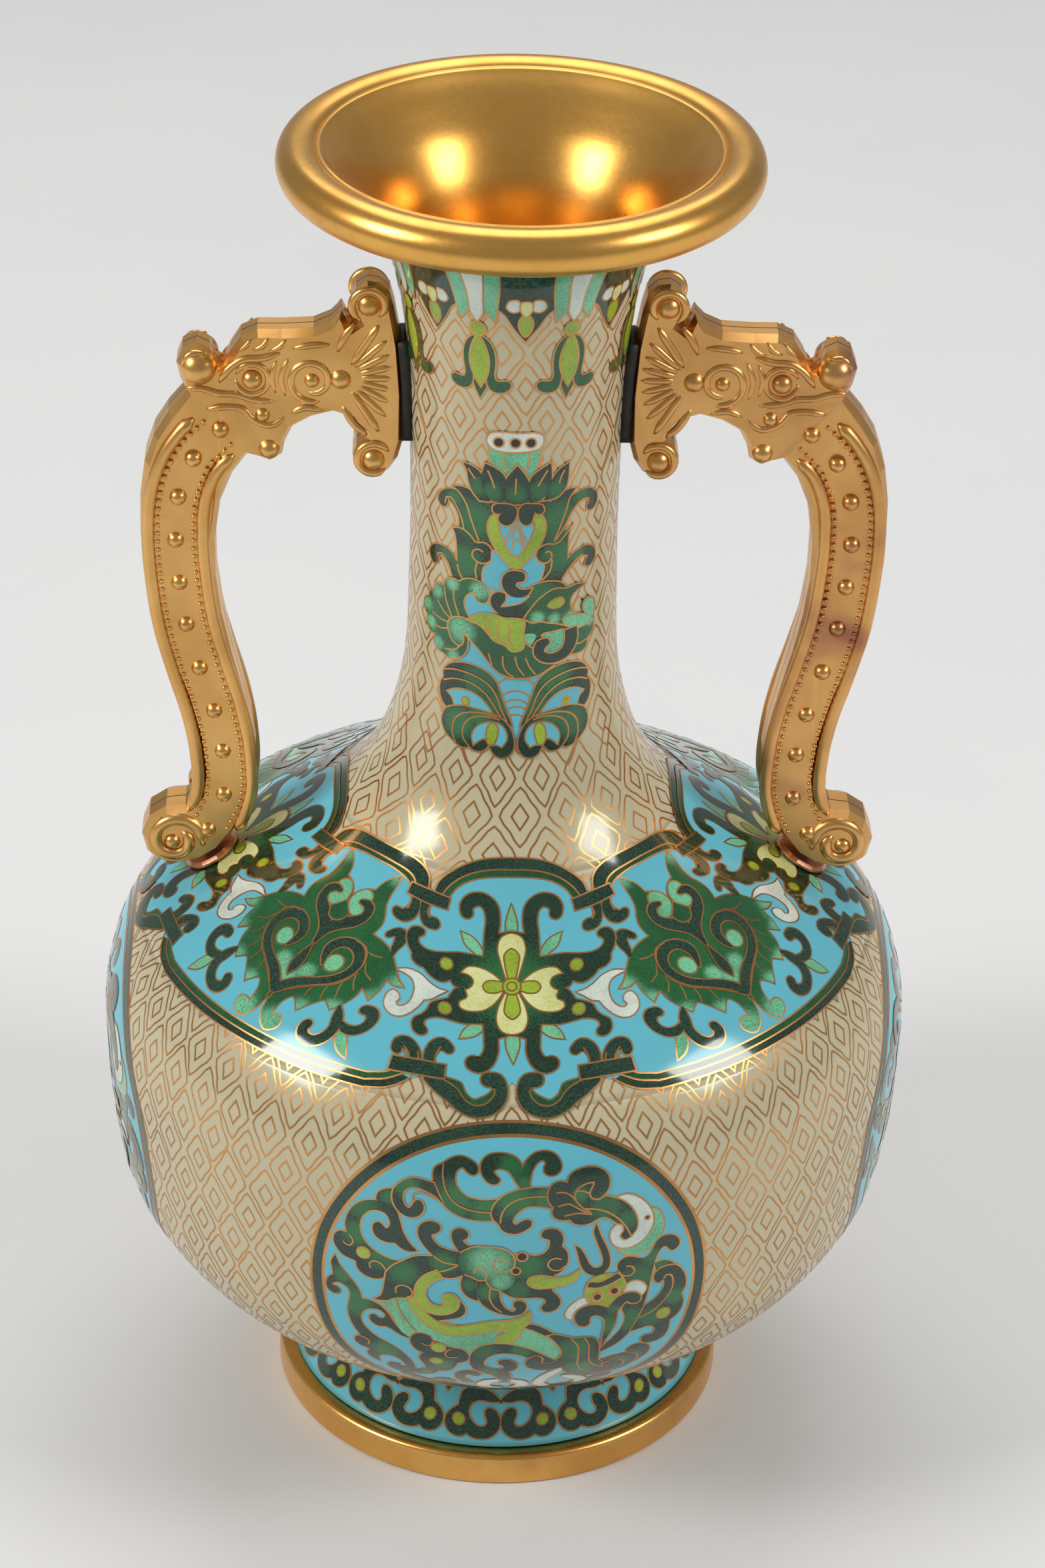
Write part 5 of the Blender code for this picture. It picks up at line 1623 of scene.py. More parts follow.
@dataclass
class NeckMotif:
    """The tall lotus and fish motif on the front and back of the neck."""

    turns: tuple[float, ...] = (0.0, math.pi)
    shift: float = 1.5

    def build(self) -> None:
        """Draws the motif and lays it on both sides."""
        work = Enamelwork("neck_motif", BODY, 1.8)
        art = Drawing(0.5)
        self.plant(art)
        self.crown(art)
        self.heart(art)
        self.base(art)
        self.tail(art)
        self.wing(art)
        self.body(art)
        work.lay(art, self.turns)
        work.build()

    @staticmethod
    def scroll(art: Drawing, *points: Flat, glow: Sequence[Flat] = ((0.0, 260.0, 9.0),),
        layer: int = 3) -> None:
        """Adds a dark green shape that grows lighter round the glow points."""
        art.cell(Tone.SHADOW, *points, layer=layer, tips=[(x, s, reach * 1.4) for x, s, reach in glow])

    def plant(self, art: Drawing) -> None:
        """Draws the green plant with its side hooks."""
        self.scroll(
            art, (0.0, 272.4), (-3.3, 271.9), (-7.4, 270.6, 1), (-8.8, 271.9), (-10.8, 273.0), (-12.6, 273.1),
            (-14.3, 272.6, 1), (-12.9, 271.8, 1), (-14.6, 271.9), (-16.6, 271.2), (-18.0, 269.8),
            (-18.3, 268.2),
            (-17.4, 267.2), (-16.2, 267.4), (-15.7, 268.6), (-15.8, 269.5, 1), (-14.2, 268.4), (-13.0, 266.6),
            (-12.6, 264.6), (-12.8, 263.6, 1), (-14.3, 263.2, 1), (-13.6, 261.8), (-13.2, 259.8),
            (-13.0, 256.8),
            (-13.0, 254.9, 1), (-14.0, 256.4), (-15.6, 257.6), (-17.6, 257.8), (-19.6, 257.2), (-20.8, 255.8),
            (-20.6, 254.2), (-19.4, 253.0), (-18.4, 253.6), (-18.3, 254.9), (-17.4, 255.6), (-15.8, 254.6),
            (-14.8, 253.0), (-14.0, 250.6, 1), (-9.0, 248.0), (0.0, 246.0), (8.0, 248.0), (10.3, 252.4, 1),
            (12.0, 254.2), (13.6, 255.5), (15.4, 256.4), (17.2, 255.8, 1), (16.4, 255.0), (16.2, 254.0),
            (17.2, 253.4), (18.6, 254.2), (19.1, 255.8), (18.4, 257.4), (16.6, 258.4), (14.6, 258.2),
            (12.6, 257.4),
            (11.4, 256.2, 1), (11.4, 259.8), (11.6, 262.4), (12.5, 264.5, 1), (10.4, 263.0, 1), (11.6, 266.4),
            (13.2, 268.6), (15.2, 269.5), (16.7, 269.2, 1), (16.2, 268.0), (16.5, 266.9), (17.6, 266.5),
            (18.9, 267.6), (19.1, 269.4), (18.0, 271.0), (15.8, 271.9), (13.6, 271.7), (12.2, 271.2, 1),
            (13.1, 272.8, 1), (11.4, 273.0), (9.2, 272.2), (7.2, 270.8, 1), (5.2, 271.6), (2.7, 272.0),
            glow=((-9.0, 266.0, 7.0), (9.0, 266.0, 7.0), (-11.0, 256.0, 6.0), (9.0, 258.0, 6.0),
                (-14.0, 270.0, 3.0),
                  (14.5, 271.0, 3.0), (-16.0, 256.4, 2.5), (14.0, 257.0, 3.0)), layer=2,
        )
        for line in (
            ((-14.3, 272.6), (-12.6, 271.6), (-10.9, 269.2), (-9.8, 266.0), (-8.0, 261.4)),
            ((-16.4, 268.0), (-16.0, 269.6), (-14.6, 269.8), (-13.2, 268.0), (-12.0, 265.6), (-11.5, 263.4)),
            ((-14.3, 263.2), (-12.2, 263.5), (-10.4, 262.8), (-8.6, 261.1), (-6.8, 261.3), (-5.4, 260.4),
             (-4.8, 258.8), (-5.4, 257.2), (-6.8, 256.4), (-8.4, 256.6), (-9.5, 257.8), (-9.0, 259.2),
             (-7.8, 259.5), (-7.0, 259.0)),
            ((-13.0, 254.9), (-12.6, 253.4), (-11.6, 251.8)), ((-8.3, 256.4), (-8.7, 254.6), (-8.3, 252.4)),
            ((-17.6, 254.4), (-18.5, 255.4), (-17.2, 256.0), (-15.4, 254.4), (-14.2, 251.4)),
            ((13.1, 272.8), (11.6, 271.0), (10.8, 268.4), (9.4, 264.6), (8.2, 261.6)),
            ((16.4, 268.0), (16.6, 269.4), (14.6, 269.6), (12.4, 267.8), (10.6, 264.6), (8.2, 261.4)),
            ((12.5, 264.5), (10.8, 262.6), (8.8, 260.9), (6.4, 261.1), (4.6, 260.2), (4.2, 258.4),
            (5.2, 257.0),
             (6.8, 256.8), (7.7, 258.0), (7.2, 259.3), (6.2, 259.2)),
            ((17.0, 255.8), (14.8, 256.5), (12.6, 255.2), (10.2, 252.4)),
            ((7.8, 257.4), (7.4, 254.8), (5.6, 252.6)),
        ):
            art.wire(*line, layer=3)
        for across, run in ((-7.0, 258.6), (5.9, 258.8)):
            art.disc(Tone.DARK, across, run, 1.9, layer=2)

    def crown(self, art: Drawing) -> None:
        """Draws the cup with its white seed head and the crown of leaves."""
        art.cell(Tone.MINT, (-6.1, 284.2, 1), (-6.0, 281.4), (-5.2, 279.2), (-3.4, 276.6), (0.0, 275.6),
            (2.6, 276.8),
                 (4.0, 279.4), (4.6, 281.8), (4.7, 284.0, 1), layer=2)
        art.wire((-3.2, 283.0), (-3.0, 280.8), (-2.2, 278.4), layer=3)
        art.wire((2.4, 283.0), (2.3, 280.6), (1.5, 278.2), layer=3)
        art.cell(Tone.WHITE, (-6.5, 285.2), (-5.8, 286.7), (-4.0, 287.1), (0.0, 287.0), (3.5, 287.0),
            (4.9, 286.3),
                 (5.1, 284.9), (4.4, 283.7), (2.0, 283.1), (-1.5, 282.9), (-4.6, 283.2), (-6.0, 284.0),
                 layer=4)
        for across in (-4.1, -0.6, 2.6):
            art.disc(Tone.BLACK, across, 284.9, 0.95, layer=5)
        for points, glow in (
            (((-8.0, 271.0, 1), (-9.6, 272.8), (-10.5, 275.0), (-10.9, 277.2), (-11.8, 278.9, 1),
            (-9.6, 278.5),
              (-7.8, 277.2), (-7.4, 274.0), (-5.6, 271.2)), (-8.4, 274.2, 3.2)),
            (((5.6, 271.4, 1), (8.6, 271.9), (10.4, 273.6), (11.0, 276.0), (11.1, 279.3, 1), (8.9, 278.1),
              (7.4, 276.2), (6.6, 273.8)), (8.4, 273.8, 3.2)),
            (((-5.2, 271.2, 1), (-7.2, 273.4), (-7.8, 276.0), (-6.9, 279.7, 1), (-4.4, 278.7), (-2.6, 276.9),
              (-2.6, 274.4), (-3.0, 271.2, 1)), (-5.2, 273.4, 3.2)),
            (((4.8, 271.4, 1), (6.8, 273.4), (7.2, 276.4), (7.0, 279.9, 1), (4.6, 278.5), (2.8, 276.8),
              (2.4, 273.6), (2.5, 271.2, 1)), (4.6, 273.8, 3.2)),
            (((-3.3, 271.6, 1), (-3.2, 274.6), (-2.0, 277.2), (-0.1, 279.7, 1), (1.6, 277.4), (2.7, 275.0),
              (2.8, 271.6, 1), (0.0, 270.8)), (-0.2, 273.2, 3.2)),
        ):
            self.scroll(art, *points, glow=(glow,), layer=4)
        for line in (
            ((-0.3, 276.8), (-0.4, 273.0)), ((-6.3, 278.2), (-5.3, 276.0), (-4.8, 274.2)),
            ((-10.6, 277.8), (-9.0, 275.8)), ((6.3, 278.4), (5.2, 276.6), (4.3, 274.8)),
            ((10.1, 277.8), (9.4, 276.6), (8.9, 275.0)),
        ):
            art.wire(*line, layer=5)

    def heart(self, art: Drawing) -> None:
        """Draws the lime heart, its dark curls and the turquoise pockets."""
        art.cell(Tone.TURQUOISE, (-4.2, 266.4), (-2.6, 265.9), (-0.4, 266.8), (0.0, 268.2), (0.6, 266.8),
            (2.0, 265.8),
                 (4.2, 266.2), (3.6, 264.0), (2.6, 261.6), (1.0, 259.0), (-0.1, 257.8), (-1.4, 259.2),
                 (-3.0, 261.8),
                 (-3.9, 264.6), layer=4)
        art.cell(Tone.TURQUOISE, (-5.0, 259.4, 1), (-3.4, 260.0), (-1.8, 257.4), (-1.2, 256.0), (-2.6, 254.0),
                 (-2.6, 252.2), (-1.0, 250.4), (-4.4, 249.4), (-6.0, 249.4), (-6.8, 251.0), (-7.0, 253.0),
                 (-6.7, 255.4), (-5.2, 257.0), layer=3)
        art.cell(Tone.TURQUOISE, (4.0, 259.8, 1), (2.6, 258.4), (0.2, 256.0), (2.0, 255.4), (1.4, 252.6),
            (0.0, 252.0),
                 (1.0, 250.6), (3.0, 250.8), (4.8, 252.2), (5.7, 254.6), (5.8, 256.4), (4.6, 257.2),
                 (4.0, 258.4),
                 layer=3)
        art.cell(Tone.LIME, (-2.9, 268.9, 1), (-4.8, 268.1), (-5.8, 266.6), (-6.0, 264.4), (-5.2, 262.0),
            (-3.8, 259.6),
                 (-2.0, 257.4), (0.0, 255.5, 1), (2.0, 257.4), (3.8, 259.6), (5.2, 261.8), (6.0, 264.0),
                 (6.0, 266.2),
                 (5.0, 268.2), (3.7, 268.9, 1), (3.3, 268.0), (3.9, 266.6), (3.8, 264.8), (2.8, 262.0),
                 (1.3, 259.5),
                 (-0.1, 258.2, 1), (-1.5, 259.6), (-3.0, 262.4), (-3.8, 265.0), (-3.8, 266.8), layer=5)
        self.scroll(art, (-0.1, 269.8), (-0.2, 268.0), (-0.8, 266.7), (-2.0, 265.9), (-3.4, 266.4),
            (-3.8, 267.6),
                    (-3.0, 268.9, 1), (-4.2, 268.5), (-5.0, 269.0), (-4.8, 270.4), (-2.6, 270.8),
                    (-1.0, 270.6),
                    glow=NO_GLOW, layer=6)
        self.scroll(art, (0.5, 269.8), (0.4, 268.0), (0.8, 266.8), (1.9, 266.0), (3.0, 266.5), (3.3, 267.6),
                    (3.7, 268.9, 1), (4.8, 268.4), (5.6, 269.0), (5.2, 270.4), (3.2, 270.8), (1.4, 270.8),
                    glow=NO_GLOW, layer=6)
        self.scroll(art, (2.0, 254.2), (1.6, 252.9), (0.4, 252.8), (0.0, 252.0), (1.2, 251.0),
            (3.4, 251.1, 1),
                    (2.4, 249.6), (0.0, 249.2), (-1.8, 250.2), (-2.8, 252.0), (-2.6, 254.0), (-1.4, 255.2),
                    (0.4, 255.3), (1.6, 254.9), glow=NO_GLOW, layer=6)
        for line in (
            ((-2.3, 261.6), (-1.7, 264.0), (0.0, 266.2), (1.2, 264.0), (2.1, 262.0)),
            ((-0.9, 260.4), (-0.6, 262.0), (0.0, 262.9), (1.2, 261.4), (1.6, 260.4)),
            ((0.0, 266.0), (-1.2, 262.6)), ((0.2, 265.4), (1.6, 261.4)),
        ):
            art.wire(*line, layer=5)

    def base(self, art: Drawing) -> None:
        """Draws the ribbed base lobes and the turquoise fan between them."""
        art.cell(Tone.TURQUOISE, (-12.6, 232.2), (-10.4, 239.0), (-4.0, 240.0), (4.0, 238.0), (7.6, 231.0),
            (5.8, 228.6),
                 (3.6, 222.0), (1.6, 218.0), (0.7, 215.6, 1), (-0.4, 218.0), (-1.6, 223.0), (-4.0, 229.3),
                 (-8.0, 231.8), layer=1)
        for line in (
            ((-3.2, 228.8), (-1.6, 229.8), (0.8, 230.0), (3.4, 229.4), (5.2, 227.4)),
            ((-2.8, 225.4), (-1.6, 226.5), (0.3, 227.1), (2.4, 226.6), (4.0, 225.0)),
            ((-2.3, 223.8), (-1.2, 224.7), (0.4, 225.1), (2.2, 224.7), (3.5, 223.3)),
            ((-1.9, 222.4), (-0.8, 223.1), (0.6, 223.5), (2.2, 223.2), (3.2, 222.1)),
            ((-1.4, 220.9), (-0.3, 221.6), (1.0, 221.7), (2.5, 220.9)),
        ):
            art.wire(*line, layer=2)
        for side in (1, -1):
            def at(*points: Flat, hand: int = side) -> list[Flat]:
                """Returns points for this side, mirrored past the middle for the other one."""
                return [(p[0] if hand > 0 else self.shift - p[0], *p[1:]) for p in points]

            self.scroll(
                art, *at((-0.2, 219.2, 1), (-1.6, 223.0), (-2.8, 226.5), (-4.0, 229.3), (-5.8, 231.0),
                    (-8.0, 231.9),
                         (-10.8, 232.2), (-13.4, 231.6), (-15.4, 230.2), (-16.2, 228.6), (-16.0, 227.6, 1),
                         (-16.9, 226.0), (-17.0, 224.0), (-16.2, 222.0), (-14.8, 221.1), (-13.6, 221.6),
                         (-13.0, 222.6, 1), (-9.0, 222.6), (-4.0, 221.4)),
                glow=at((-7.5, 229.0, 6.0), (-3.0, 224.0, 5.0)), layer=3,
            )
            art.cell(Tone.TURQUOISE, *at((-14.8, 224.6, 1), (-13.0, 225.6), (-10.8, 226.0), (-8.5, 225.6),
                                         (-6.6, 224.4), (-5.2, 222.8), (-4.4, 221.6, 1), (-8.0, 221.8),
                                         (-12.8, 221.4, 1), (-13.3, 222.8), (-13.7, 223.8)), layer=4)
            self.scroll(
                art, *at((-15.0, 220.8), (-16.0, 219.0), (-16.0, 217.2), (-15.0, 215.6), (-12.5, 213.9, 1),
                         (-11.4, 213.5), (-10.2, 213.5), (-9.4, 213.9, 1), (-8.2, 213.2), (-6.6, 213.3),
                         (-5.5, 214.3), (-5.1, 215.2, 1), (-4.6, 214.0), (-3.8, 212.8), (-2.4, 212.2),
                         (-1.0, 212.6),
                         (0.0, 213.8), (0.3, 215.4), (-0.1, 217.4), (-1.0, 219.3), (-2.6, 220.8),
                         (-5.0, 221.7),
                         (-8.0, 222.2), (-11.6, 222.2)),
                glow=at((-12.0, 218.5, 5.5), (-7.0, 221.0, 4.0)), layer=5,
            )
            art.cell(Tone.TURQUOISE, *at((-8.4, 214.5, 1), (-8.7, 216.4), (-7.6, 218.4), (-6.0, 219.4),
                (-4.4, 219.8),
                                         (-2.6, 219.3), (-1.6, 218.0), (-1.3, 216.3), (-2.3, 214.6, 1),
                                         (-3.4, 215.0),
                                         (-4.6, 214.9), (-5.1, 215.2, 1), (-6.0, 216.2), (-7.2, 215.6)),
                                         layer=6)
            art.cell(Tone.LIME, *at((-5.0, 215.0), (-5.5, 216.8), (-5.1, 218.8), (-4.1, 219.7), (-3.3, 218.6),
                                    (-3.5, 216.6), (-4.2, 215.0)), layer=7)
            art.disc(Tone.LIME, at((-10.4, 223.5))[0][0], 223.6, 0.75, layer=5)
            for line in (
                ((-16.0, 229.4), (-13.5, 230.2), (-10.5, 230.3), (-7.5, 229.6), (-5.0, 228.0), (-3.4, 225.5),
                 (-2.4, 222.6), (-1.2, 220.2)),
                ((-16.0, 226.9), (-13.5, 228.0), (-10.5, 228.3), (-8.0, 227.6), (-5.8, 226.0), (-4.2, 223.8),
                 (-2.6, 221.2)),
                ((-12.6, 213.9), (-13.4, 216.0), (-13.1, 218.6), (-11.6, 220.4), (-9.0, 221.4), (-6.0, 221.6),
                 (-3.4, 221.1)),
                ((-9.5, 213.9), (-10.8, 215.4), (-10.9, 217.6), (-9.9, 219.4), (-8.0, 220.6), (-5.4, 221.0),
                 (-2.8, 220.5)),
            ):
                art.wire(*at(*line), layer=6)

    def tail(self, art: Drawing) -> None:
        """Draws the scalloped tail on the left."""
        art.cell(Tone.TURQUOISE, (-8.4, 249.6), (-11.8, 247.0), (-11.0, 243.0), (-5.0, 243.6), (-3.0, 246.0),
                 (-4.2, 250.6), (-6.0, 250.6), layer=4)
        art.cell(
            Tone.LEAF, (-9.8, 242.9, 1), (-11.0, 245.0), (-11.3, 246.6), (-10.6, 248.4), (-9.2, 249.4),
                (-8.3, 249.6, 1),
            (-8.6, 248.4), (-7.6, 247.4), (-6.4, 247.4), (-5.6, 248.6), (-6.0, 250.4), (-7.4, 251.8),
            (-9.4, 252.3),
            (-11.2, 251.8), (-12.4, 250.9, 1), (-13.6, 251.2), (-15.2, 250.8), (-16.1, 249.6),
            (-16.1, 248.3, 1),
            (-17.2, 248.7), (-18.6, 248.3), (-19.2, 246.8, 1), (-20.4, 245.8), (-20.7, 244.4, 1),
            (-22.0, 243.8),
            (-22.5, 242.4), (-21.8, 241.0), (-20.9, 240.6, 1), (-21.2, 239.0), (-20.6, 237.4), (-19.4, 236.8),
            (-18.2, 237.0, 1), (-19.0, 235.6), (-18.4, 234.0), (-17.2, 233.3), (-16.2, 233.2, 1),
            (-14.4, 232.6),
            (-12.4, 233.1), (-11.0, 234.4), (-10.2, 236.4), (-10.4, 239.4, 1), layer=5,
            tips=((-7.6, 250.0, 4.5), (-14.0, 250.0, 3.4), (-18.2, 247.0, 3.6), (-21.4, 243.0, 3.6),
                  (-20.0, 239.0, 3.4), (-17.8, 235.0, 3.4), (-13.5, 233.4, 3.2)),
        )
        for line in (
            ((-16.1, 248.6), (-15.7, 246.0), (-14.0, 242.3)),
            ((-13.8, 249.2), (-13.5, 246.4), (-12.2, 242.9)),
            ((-18.0, 244.9), (-16.2, 243.0), (-14.2, 241.7)),
            ((-19.6, 241.7), (-17.0, 240.9), (-14.8, 240.8)),
            ((-18.6, 238.8), (-16.6, 238.8), (-14.7, 239.6)),
            ((-15.8, 234.3), (-13.2, 234.9), (-11.6, 236.5)),
        ):
            art.wire(*line, layer=6)

    def wing(self, art: Drawing) -> None:
        """Draws the fins and scrolls on the right."""
        art.cell(Tone.LEAF, (13.6, 240.6, 1), (19.0, 240.7, 1), (19.0, 239.0), (18.2, 237.4),
            (17.2, 236.4, 1),
                 (17.0, 235.0), (16.2, 234.2), (14.4, 233.9), (12.2, 234.2, 1), (13.2, 237.0), layer=4,
                 tips=((18.0, 240.6, 3.0),))
        art.wire((13.8, 236.2), (15.6, 236.0), (17.2, 236.5), layer=5)
        art.cell(Tone.GREEN, (1.7, 244.0, 1), (6.0, 244.4), (12.0, 243.6), (12.8, 240.6), (12.0, 239.6),
            (6.0, 239.2),
                 (4.0, 238.6), (1.6, 236.6, 1), layer=4)
        art.cell(Tone.MINT, (1.7, 240.4), (4.6, 240.2), (4.2, 238.8), (3.2, 237.8), (1.7, 237.0), layer=5,
            wired=False)
        self.scroll(
            art, (-1.0, 248.4), (1.6, 250.4), (4.4, 252.0), (7.4, 252.3), (10.0, 251.5), (11.6, 249.9, 1),
            (8.4, 250.3), (5.6, 248.8), (3.6, 246.6), (2.0, 244.2, 1), (0.6, 244.2), (-1.6, 244.3),
            (-3.6, 245.3),
            (-4.9, 246.8), (-5.2, 248.4), (-4.4, 249.9), (-3.0, 250.2), (-1.7, 249.4), (-1.8, 248.2),
            (-2.8, 247.0, 1), (-1.8, 247.3), glow=((5.0, 250.0, 6.0),), layer=5,
        )
        art.cell(Tone.TURQUOISE, (-1.7, 249.5, 1), (-1.8, 248.2), (-2.6, 247.1, 1), (-0.8, 247.5),
            (1.0, 248.0),
                 (2.6, 249.2, 1), (0.2, 249.2), layer=6)
        art.cell(Tone.LEAF, (2.0, 244.2, 1), (3.6, 246.6), (5.6, 248.8), (8.4, 250.3), (11.4, 249.9),
            (14.0, 250.2),
                 (16.1, 249.7, 1), (14.0, 249.0), (12.6, 248.0), (12.1, 246.4), (12.6, 244.6), (13.8, 243.4),
                 (15.4, 242.7, 1), (13.2, 242.3), (11.6, 241.6), (9.0, 242.4), (7.2, 242.9), (5.6, 243.4),
                 (3.6, 243.3), layer=6, tips=((4.8, 244.2, 3.2), (8.6, 243.4, 3.0), (12.4, 243.2, 3.0)))
        art.cell(Tone.LIME, (7.2, 246.8), (8.4, 247.8), (10.0, 248.0), (10.6, 247.0), (9.6, 246.2),
            (8.2, 246.2), layer=7)
        art.cell(Tone.MINT, (15.4, 242.7, 1), (16.9, 242.5), (15.9, 243.8), (15.8, 245.4), (16.9, 246.1),
            (18.4, 245.4),
                 (19.1, 243.6), (18.6, 241.6), (16.8, 240.3), (14.6, 240.1), (12.6, 240.6), (11.0, 241.8),
                 (10.8, 243.2), (12.6, 243.4), layer=7)
        art.cell(Tone.MINT, (11.4, 240.2), (11.2, 238.0), (10.4, 236.2), (9.0, 235.3), (7.4, 235.1),
            (6.0, 236.0),
                 (6.6, 238.0), (6.0, 240.0), (8.0, 240.3), layer=6)
        self.scroll(
            art, (14.0, 240.4, 1), (11.1, 240.2, 1), (11.1, 238.0), (10.6, 236.4), (9.2, 235.5), (7.6, 235.4),
            (6.3, 236.2), (6.7, 237.2), (7.6, 238.0), (7.2, 239.0), (6.0, 239.1), (4.8, 238.6), (4.2, 237.2),
            (4.3, 235.6), (5.4, 234.2), (7.4, 233.3), (9.8, 233.3), (12.0, 234.1), (13.5, 235.8),
            (14.2, 238.0),
            glow=NO_GLOW, layer=8,
        )

    def body(self, art: Drawing) -> None:
        """Draws the fish's scaled body."""
        art.cell(
            Tone.LEAF, (-14.9, 240.2), (-14.2, 241.8), (-12.4, 242.7), (-9.8, 242.7), (-4.0, 242.0),
                (0.0, 240.0),
            (3.6, 237.2), (7.4, 233.4, 1), (9.6, 233.3, 1), (8.0, 232.3), (5.4, 230.9), (3.0, 230.4),
            (0.0, 230.4),
            (-2.6, 231.2), (-4.4, 232.6), (-6.0, 234.6), (-7.5, 236.4), (-9.5, 238.2), (-10.6, 239.2),
            (-11.8, 239.5, 1), (-11.2, 238.6), (-11.3, 237.2), (-12.0, 236.3), (-13.4, 236.8), (-14.5, 238.4),
            layer=7, tips=((-11.5, 240.0, 6.5),),
        )
        art.cell(Tone.LIME, (-10.0, 242.8, 1), (-8.6, 244.0), (-6.4, 244.8), (-4.2, 244.8), (-2.2, 244.2),
            (0.0, 244.2),
                 (1.8, 243.7), (1.7, 240.5), (1.7, 237.3), (-0.4, 236.7), (-1.8, 238.0), (-4.2, 239.0),
                 (-5.6, 240.6), (-7.4, 242.2), layer=8)
        for line in (
            ((-5.8, 243.6), (-5.6, 241.6), (-5.0, 240.0)), ((-3.2, 243.4), (-3.6, 242.0), (-3.4, 240.0),
            (-2.4, 238.4)),
            ((-1.4, 243.0), (-1.0, 241.2), (-1.4, 239.8), (-0.4, 238.0)),
            ((-5.4, 235.8), (-5.0, 234.4), (-4.6, 233.0)),
            ((-2.4, 235.4), (-2.2, 233.0), (-1.2, 231.4), (0.0, 230.6)),
            ((0.2, 235.4), (0.8, 233.0), (2.2, 230.8)),
            ((2.4, 235.0), (3.2, 233.0), (4.6, 231.0)),
        ):
            art.wire(*line, layer=9)


@dataclass
class Collar:
    """Eight bell flowers and eight pointed lappets hanging under the mouth."""

    count: int = 8
    first: float = math.radians(-20.4)
    top: float = 333.0

    def build(self) -> None:
        """Draws a bell flower and a lappet and lays them round the neck."""
        work = Enamelwork("collar", BODY, 2.0)
        step = 2 * math.pi / self.count
        bell = Drawing(0.5)
        bell.cell(Tone.GREEN, (-1.4, 300.4, 1), (-1.3, 297.8), (0.0, 294.6, 1), (1.5, 297.8),
            (1.4, 300.4, 1), layer=2)
        bell.cell(Tone.LIME, (0.0, 309.2), (-1.5, 306.4), (-1.9, 303.0), (-1.1, 299.8), (0.2, 297.4, 1),
            (1.5, 300.0),
                  (2.0, 303.4), (1.4, 306.6), layer=4)
        bell.cell(Tone.GREEN, (-0.1, 309.5, 1), (-2.0, 308.4), (-3.2, 306.0), (-3.4, 303.0), (-3.1, 300.0),
                  (-3.5, 298.9), (-4.6, 298.8), (-5.6, 299.0), (-6.5, 298.4), (-6.2, 297.2), (-4.6, 296.3),
                  (-2.8, 296.5), (-1.8, 297.6), (-1.5, 300.0), (-1.7, 303.0), (-1.3, 306.0), layer=3,
                  both=True)
        bell.disc(Tone.LIME, 0.0, 311.0, 1.6, layer=4)
        bell.cell(Tone.MINT, (3.6, 313.2, 1), (1.9, 315.4), (1.3, 318.0), (2.0, self.top), (5.6, self.top),
            (4.3, 316.2),
                  layer=3, both=True)
        bell.cell(Tone.WHITE, (0.0, 312.9, 1), (-1.2, 315.0), (-1.4, 318.0), (-2.0, self.top),
            (2.0, self.top),
                  (1.4, 318.0), (1.2, 315.0), layer=4)
        lappet = Drawing(0.5)
        lappet.cell(Tone.DARK, (0.0, 308.6, 1), (-2.4, 311.8), (-4.4, 315.0), (-6.4, 316.6), (-8.4, 318.4),
                    (-9.8, 323.0), (-11.0, self.top, 1), (11.0, self.top, 1), (9.8, 323.0), (8.4, 318.4),
                    (6.4, 316.6), (4.4, 315.0), (2.4, 311.8),
                    layer=2)
        lappet.cell(Tone.LIME, (0.0, 309.9), (-1.2, 311.8), (-1.2, 313.8), (0.0, 315.2), (1.2, 313.8),
            (1.2, 311.8),
                    layer=3)
        lappet.cell(Tone.YELLOW, (0.0, 314.8), (-1.1, 316.4), (-0.9, 318.2), (0.9, 318.2), (1.1, 316.4),
            layer=4)
        lappet.cell(Tone.WHITE, (1.2, 316.6), (2.6, 315.8), (3.9, 316.8), (3.4, 318.4), (1.8, 318.6),
            layer=3, both=True)
        work.lay(lappet, tuple(self.first + step * (k + 0.5) for k in range(self.count)))
        work.lay(bell, tuple(self.first + step * k for k in range(self.count)))
        work.build()


# ---------------------------------------------------------------------------------------------
# The foot band and the handles' cast relief
# ---------------------------------------------------------------------------------------------


@dataclass
class FootBand:
    """Paired dark ruyi scrolls round the foot wall."""

    count: int = 11

    def build(self) -> None:
        """Draws one pair and repeats it round the wall."""
        wall = Foot().wall()
        work = Enamelwork("foot_band", wall, 2.0)
        art = Drawing(0.6)

        def at(*points: Flat) -> list[Flat]:
            """Returns points with their heights turned into distances along the wall."""
            return [(p[0], wall.run_at(p[1]), *p[2:]) for p in points]

        art.cell(Tone.DARK, *at(
            (0.2, 17.5, 1), (-1.6, 19.0), (-4.0, 20.0), (-6.6, 20.2), (-8.6, 19.2), (-9.3, 17.6),
            (-9.6, 16.2, 1),
            (-11.0, 15.4), (-12.3, 14.2), (-12.8, 12.6), (-12.1, 11.0), (-10.6, 10.2), (-9.0, 10.2),
            (-7.9, 10.8, 1),
            (-6.4, 10.1), (-4.0, 9.9), (-1.8, 10.6), (-0.3, 12.2), (-0.2, 14.0), (-1.0, 15.4), (-2.4, 16.1),
            (-3.4, 15.7), (-3.5, 14.6), (-3.0, 13.3), (-3.6, 12.4), (-5.2, 12.4), (-6.8, 13.6), (-7.3, 15.4),
            (-6.4, 17.0), (-4.4, 17.6), (-2.2, 17.3), (0.2, 17.5, 1)), layer=2, both=True)
        art.disc(Tone.LIME, 9.6, wall.run_at(13.5), 1.2, layer=3, both=True)
        step = 2 * math.pi / self.count
        work.lay(art, tuple(step * k for k in range(self.count)))
        gap = Drawing(0.6)
        gap.cell(Tone.LEAF, *at((-1.6, 20.6, 1), (0.0, 18.8, 1), (1.6, 20.6, 1)), layer=1)
        work.lay(gap, tuple(step * (k + 0.5) for k in range(self.count)))
        work.build()


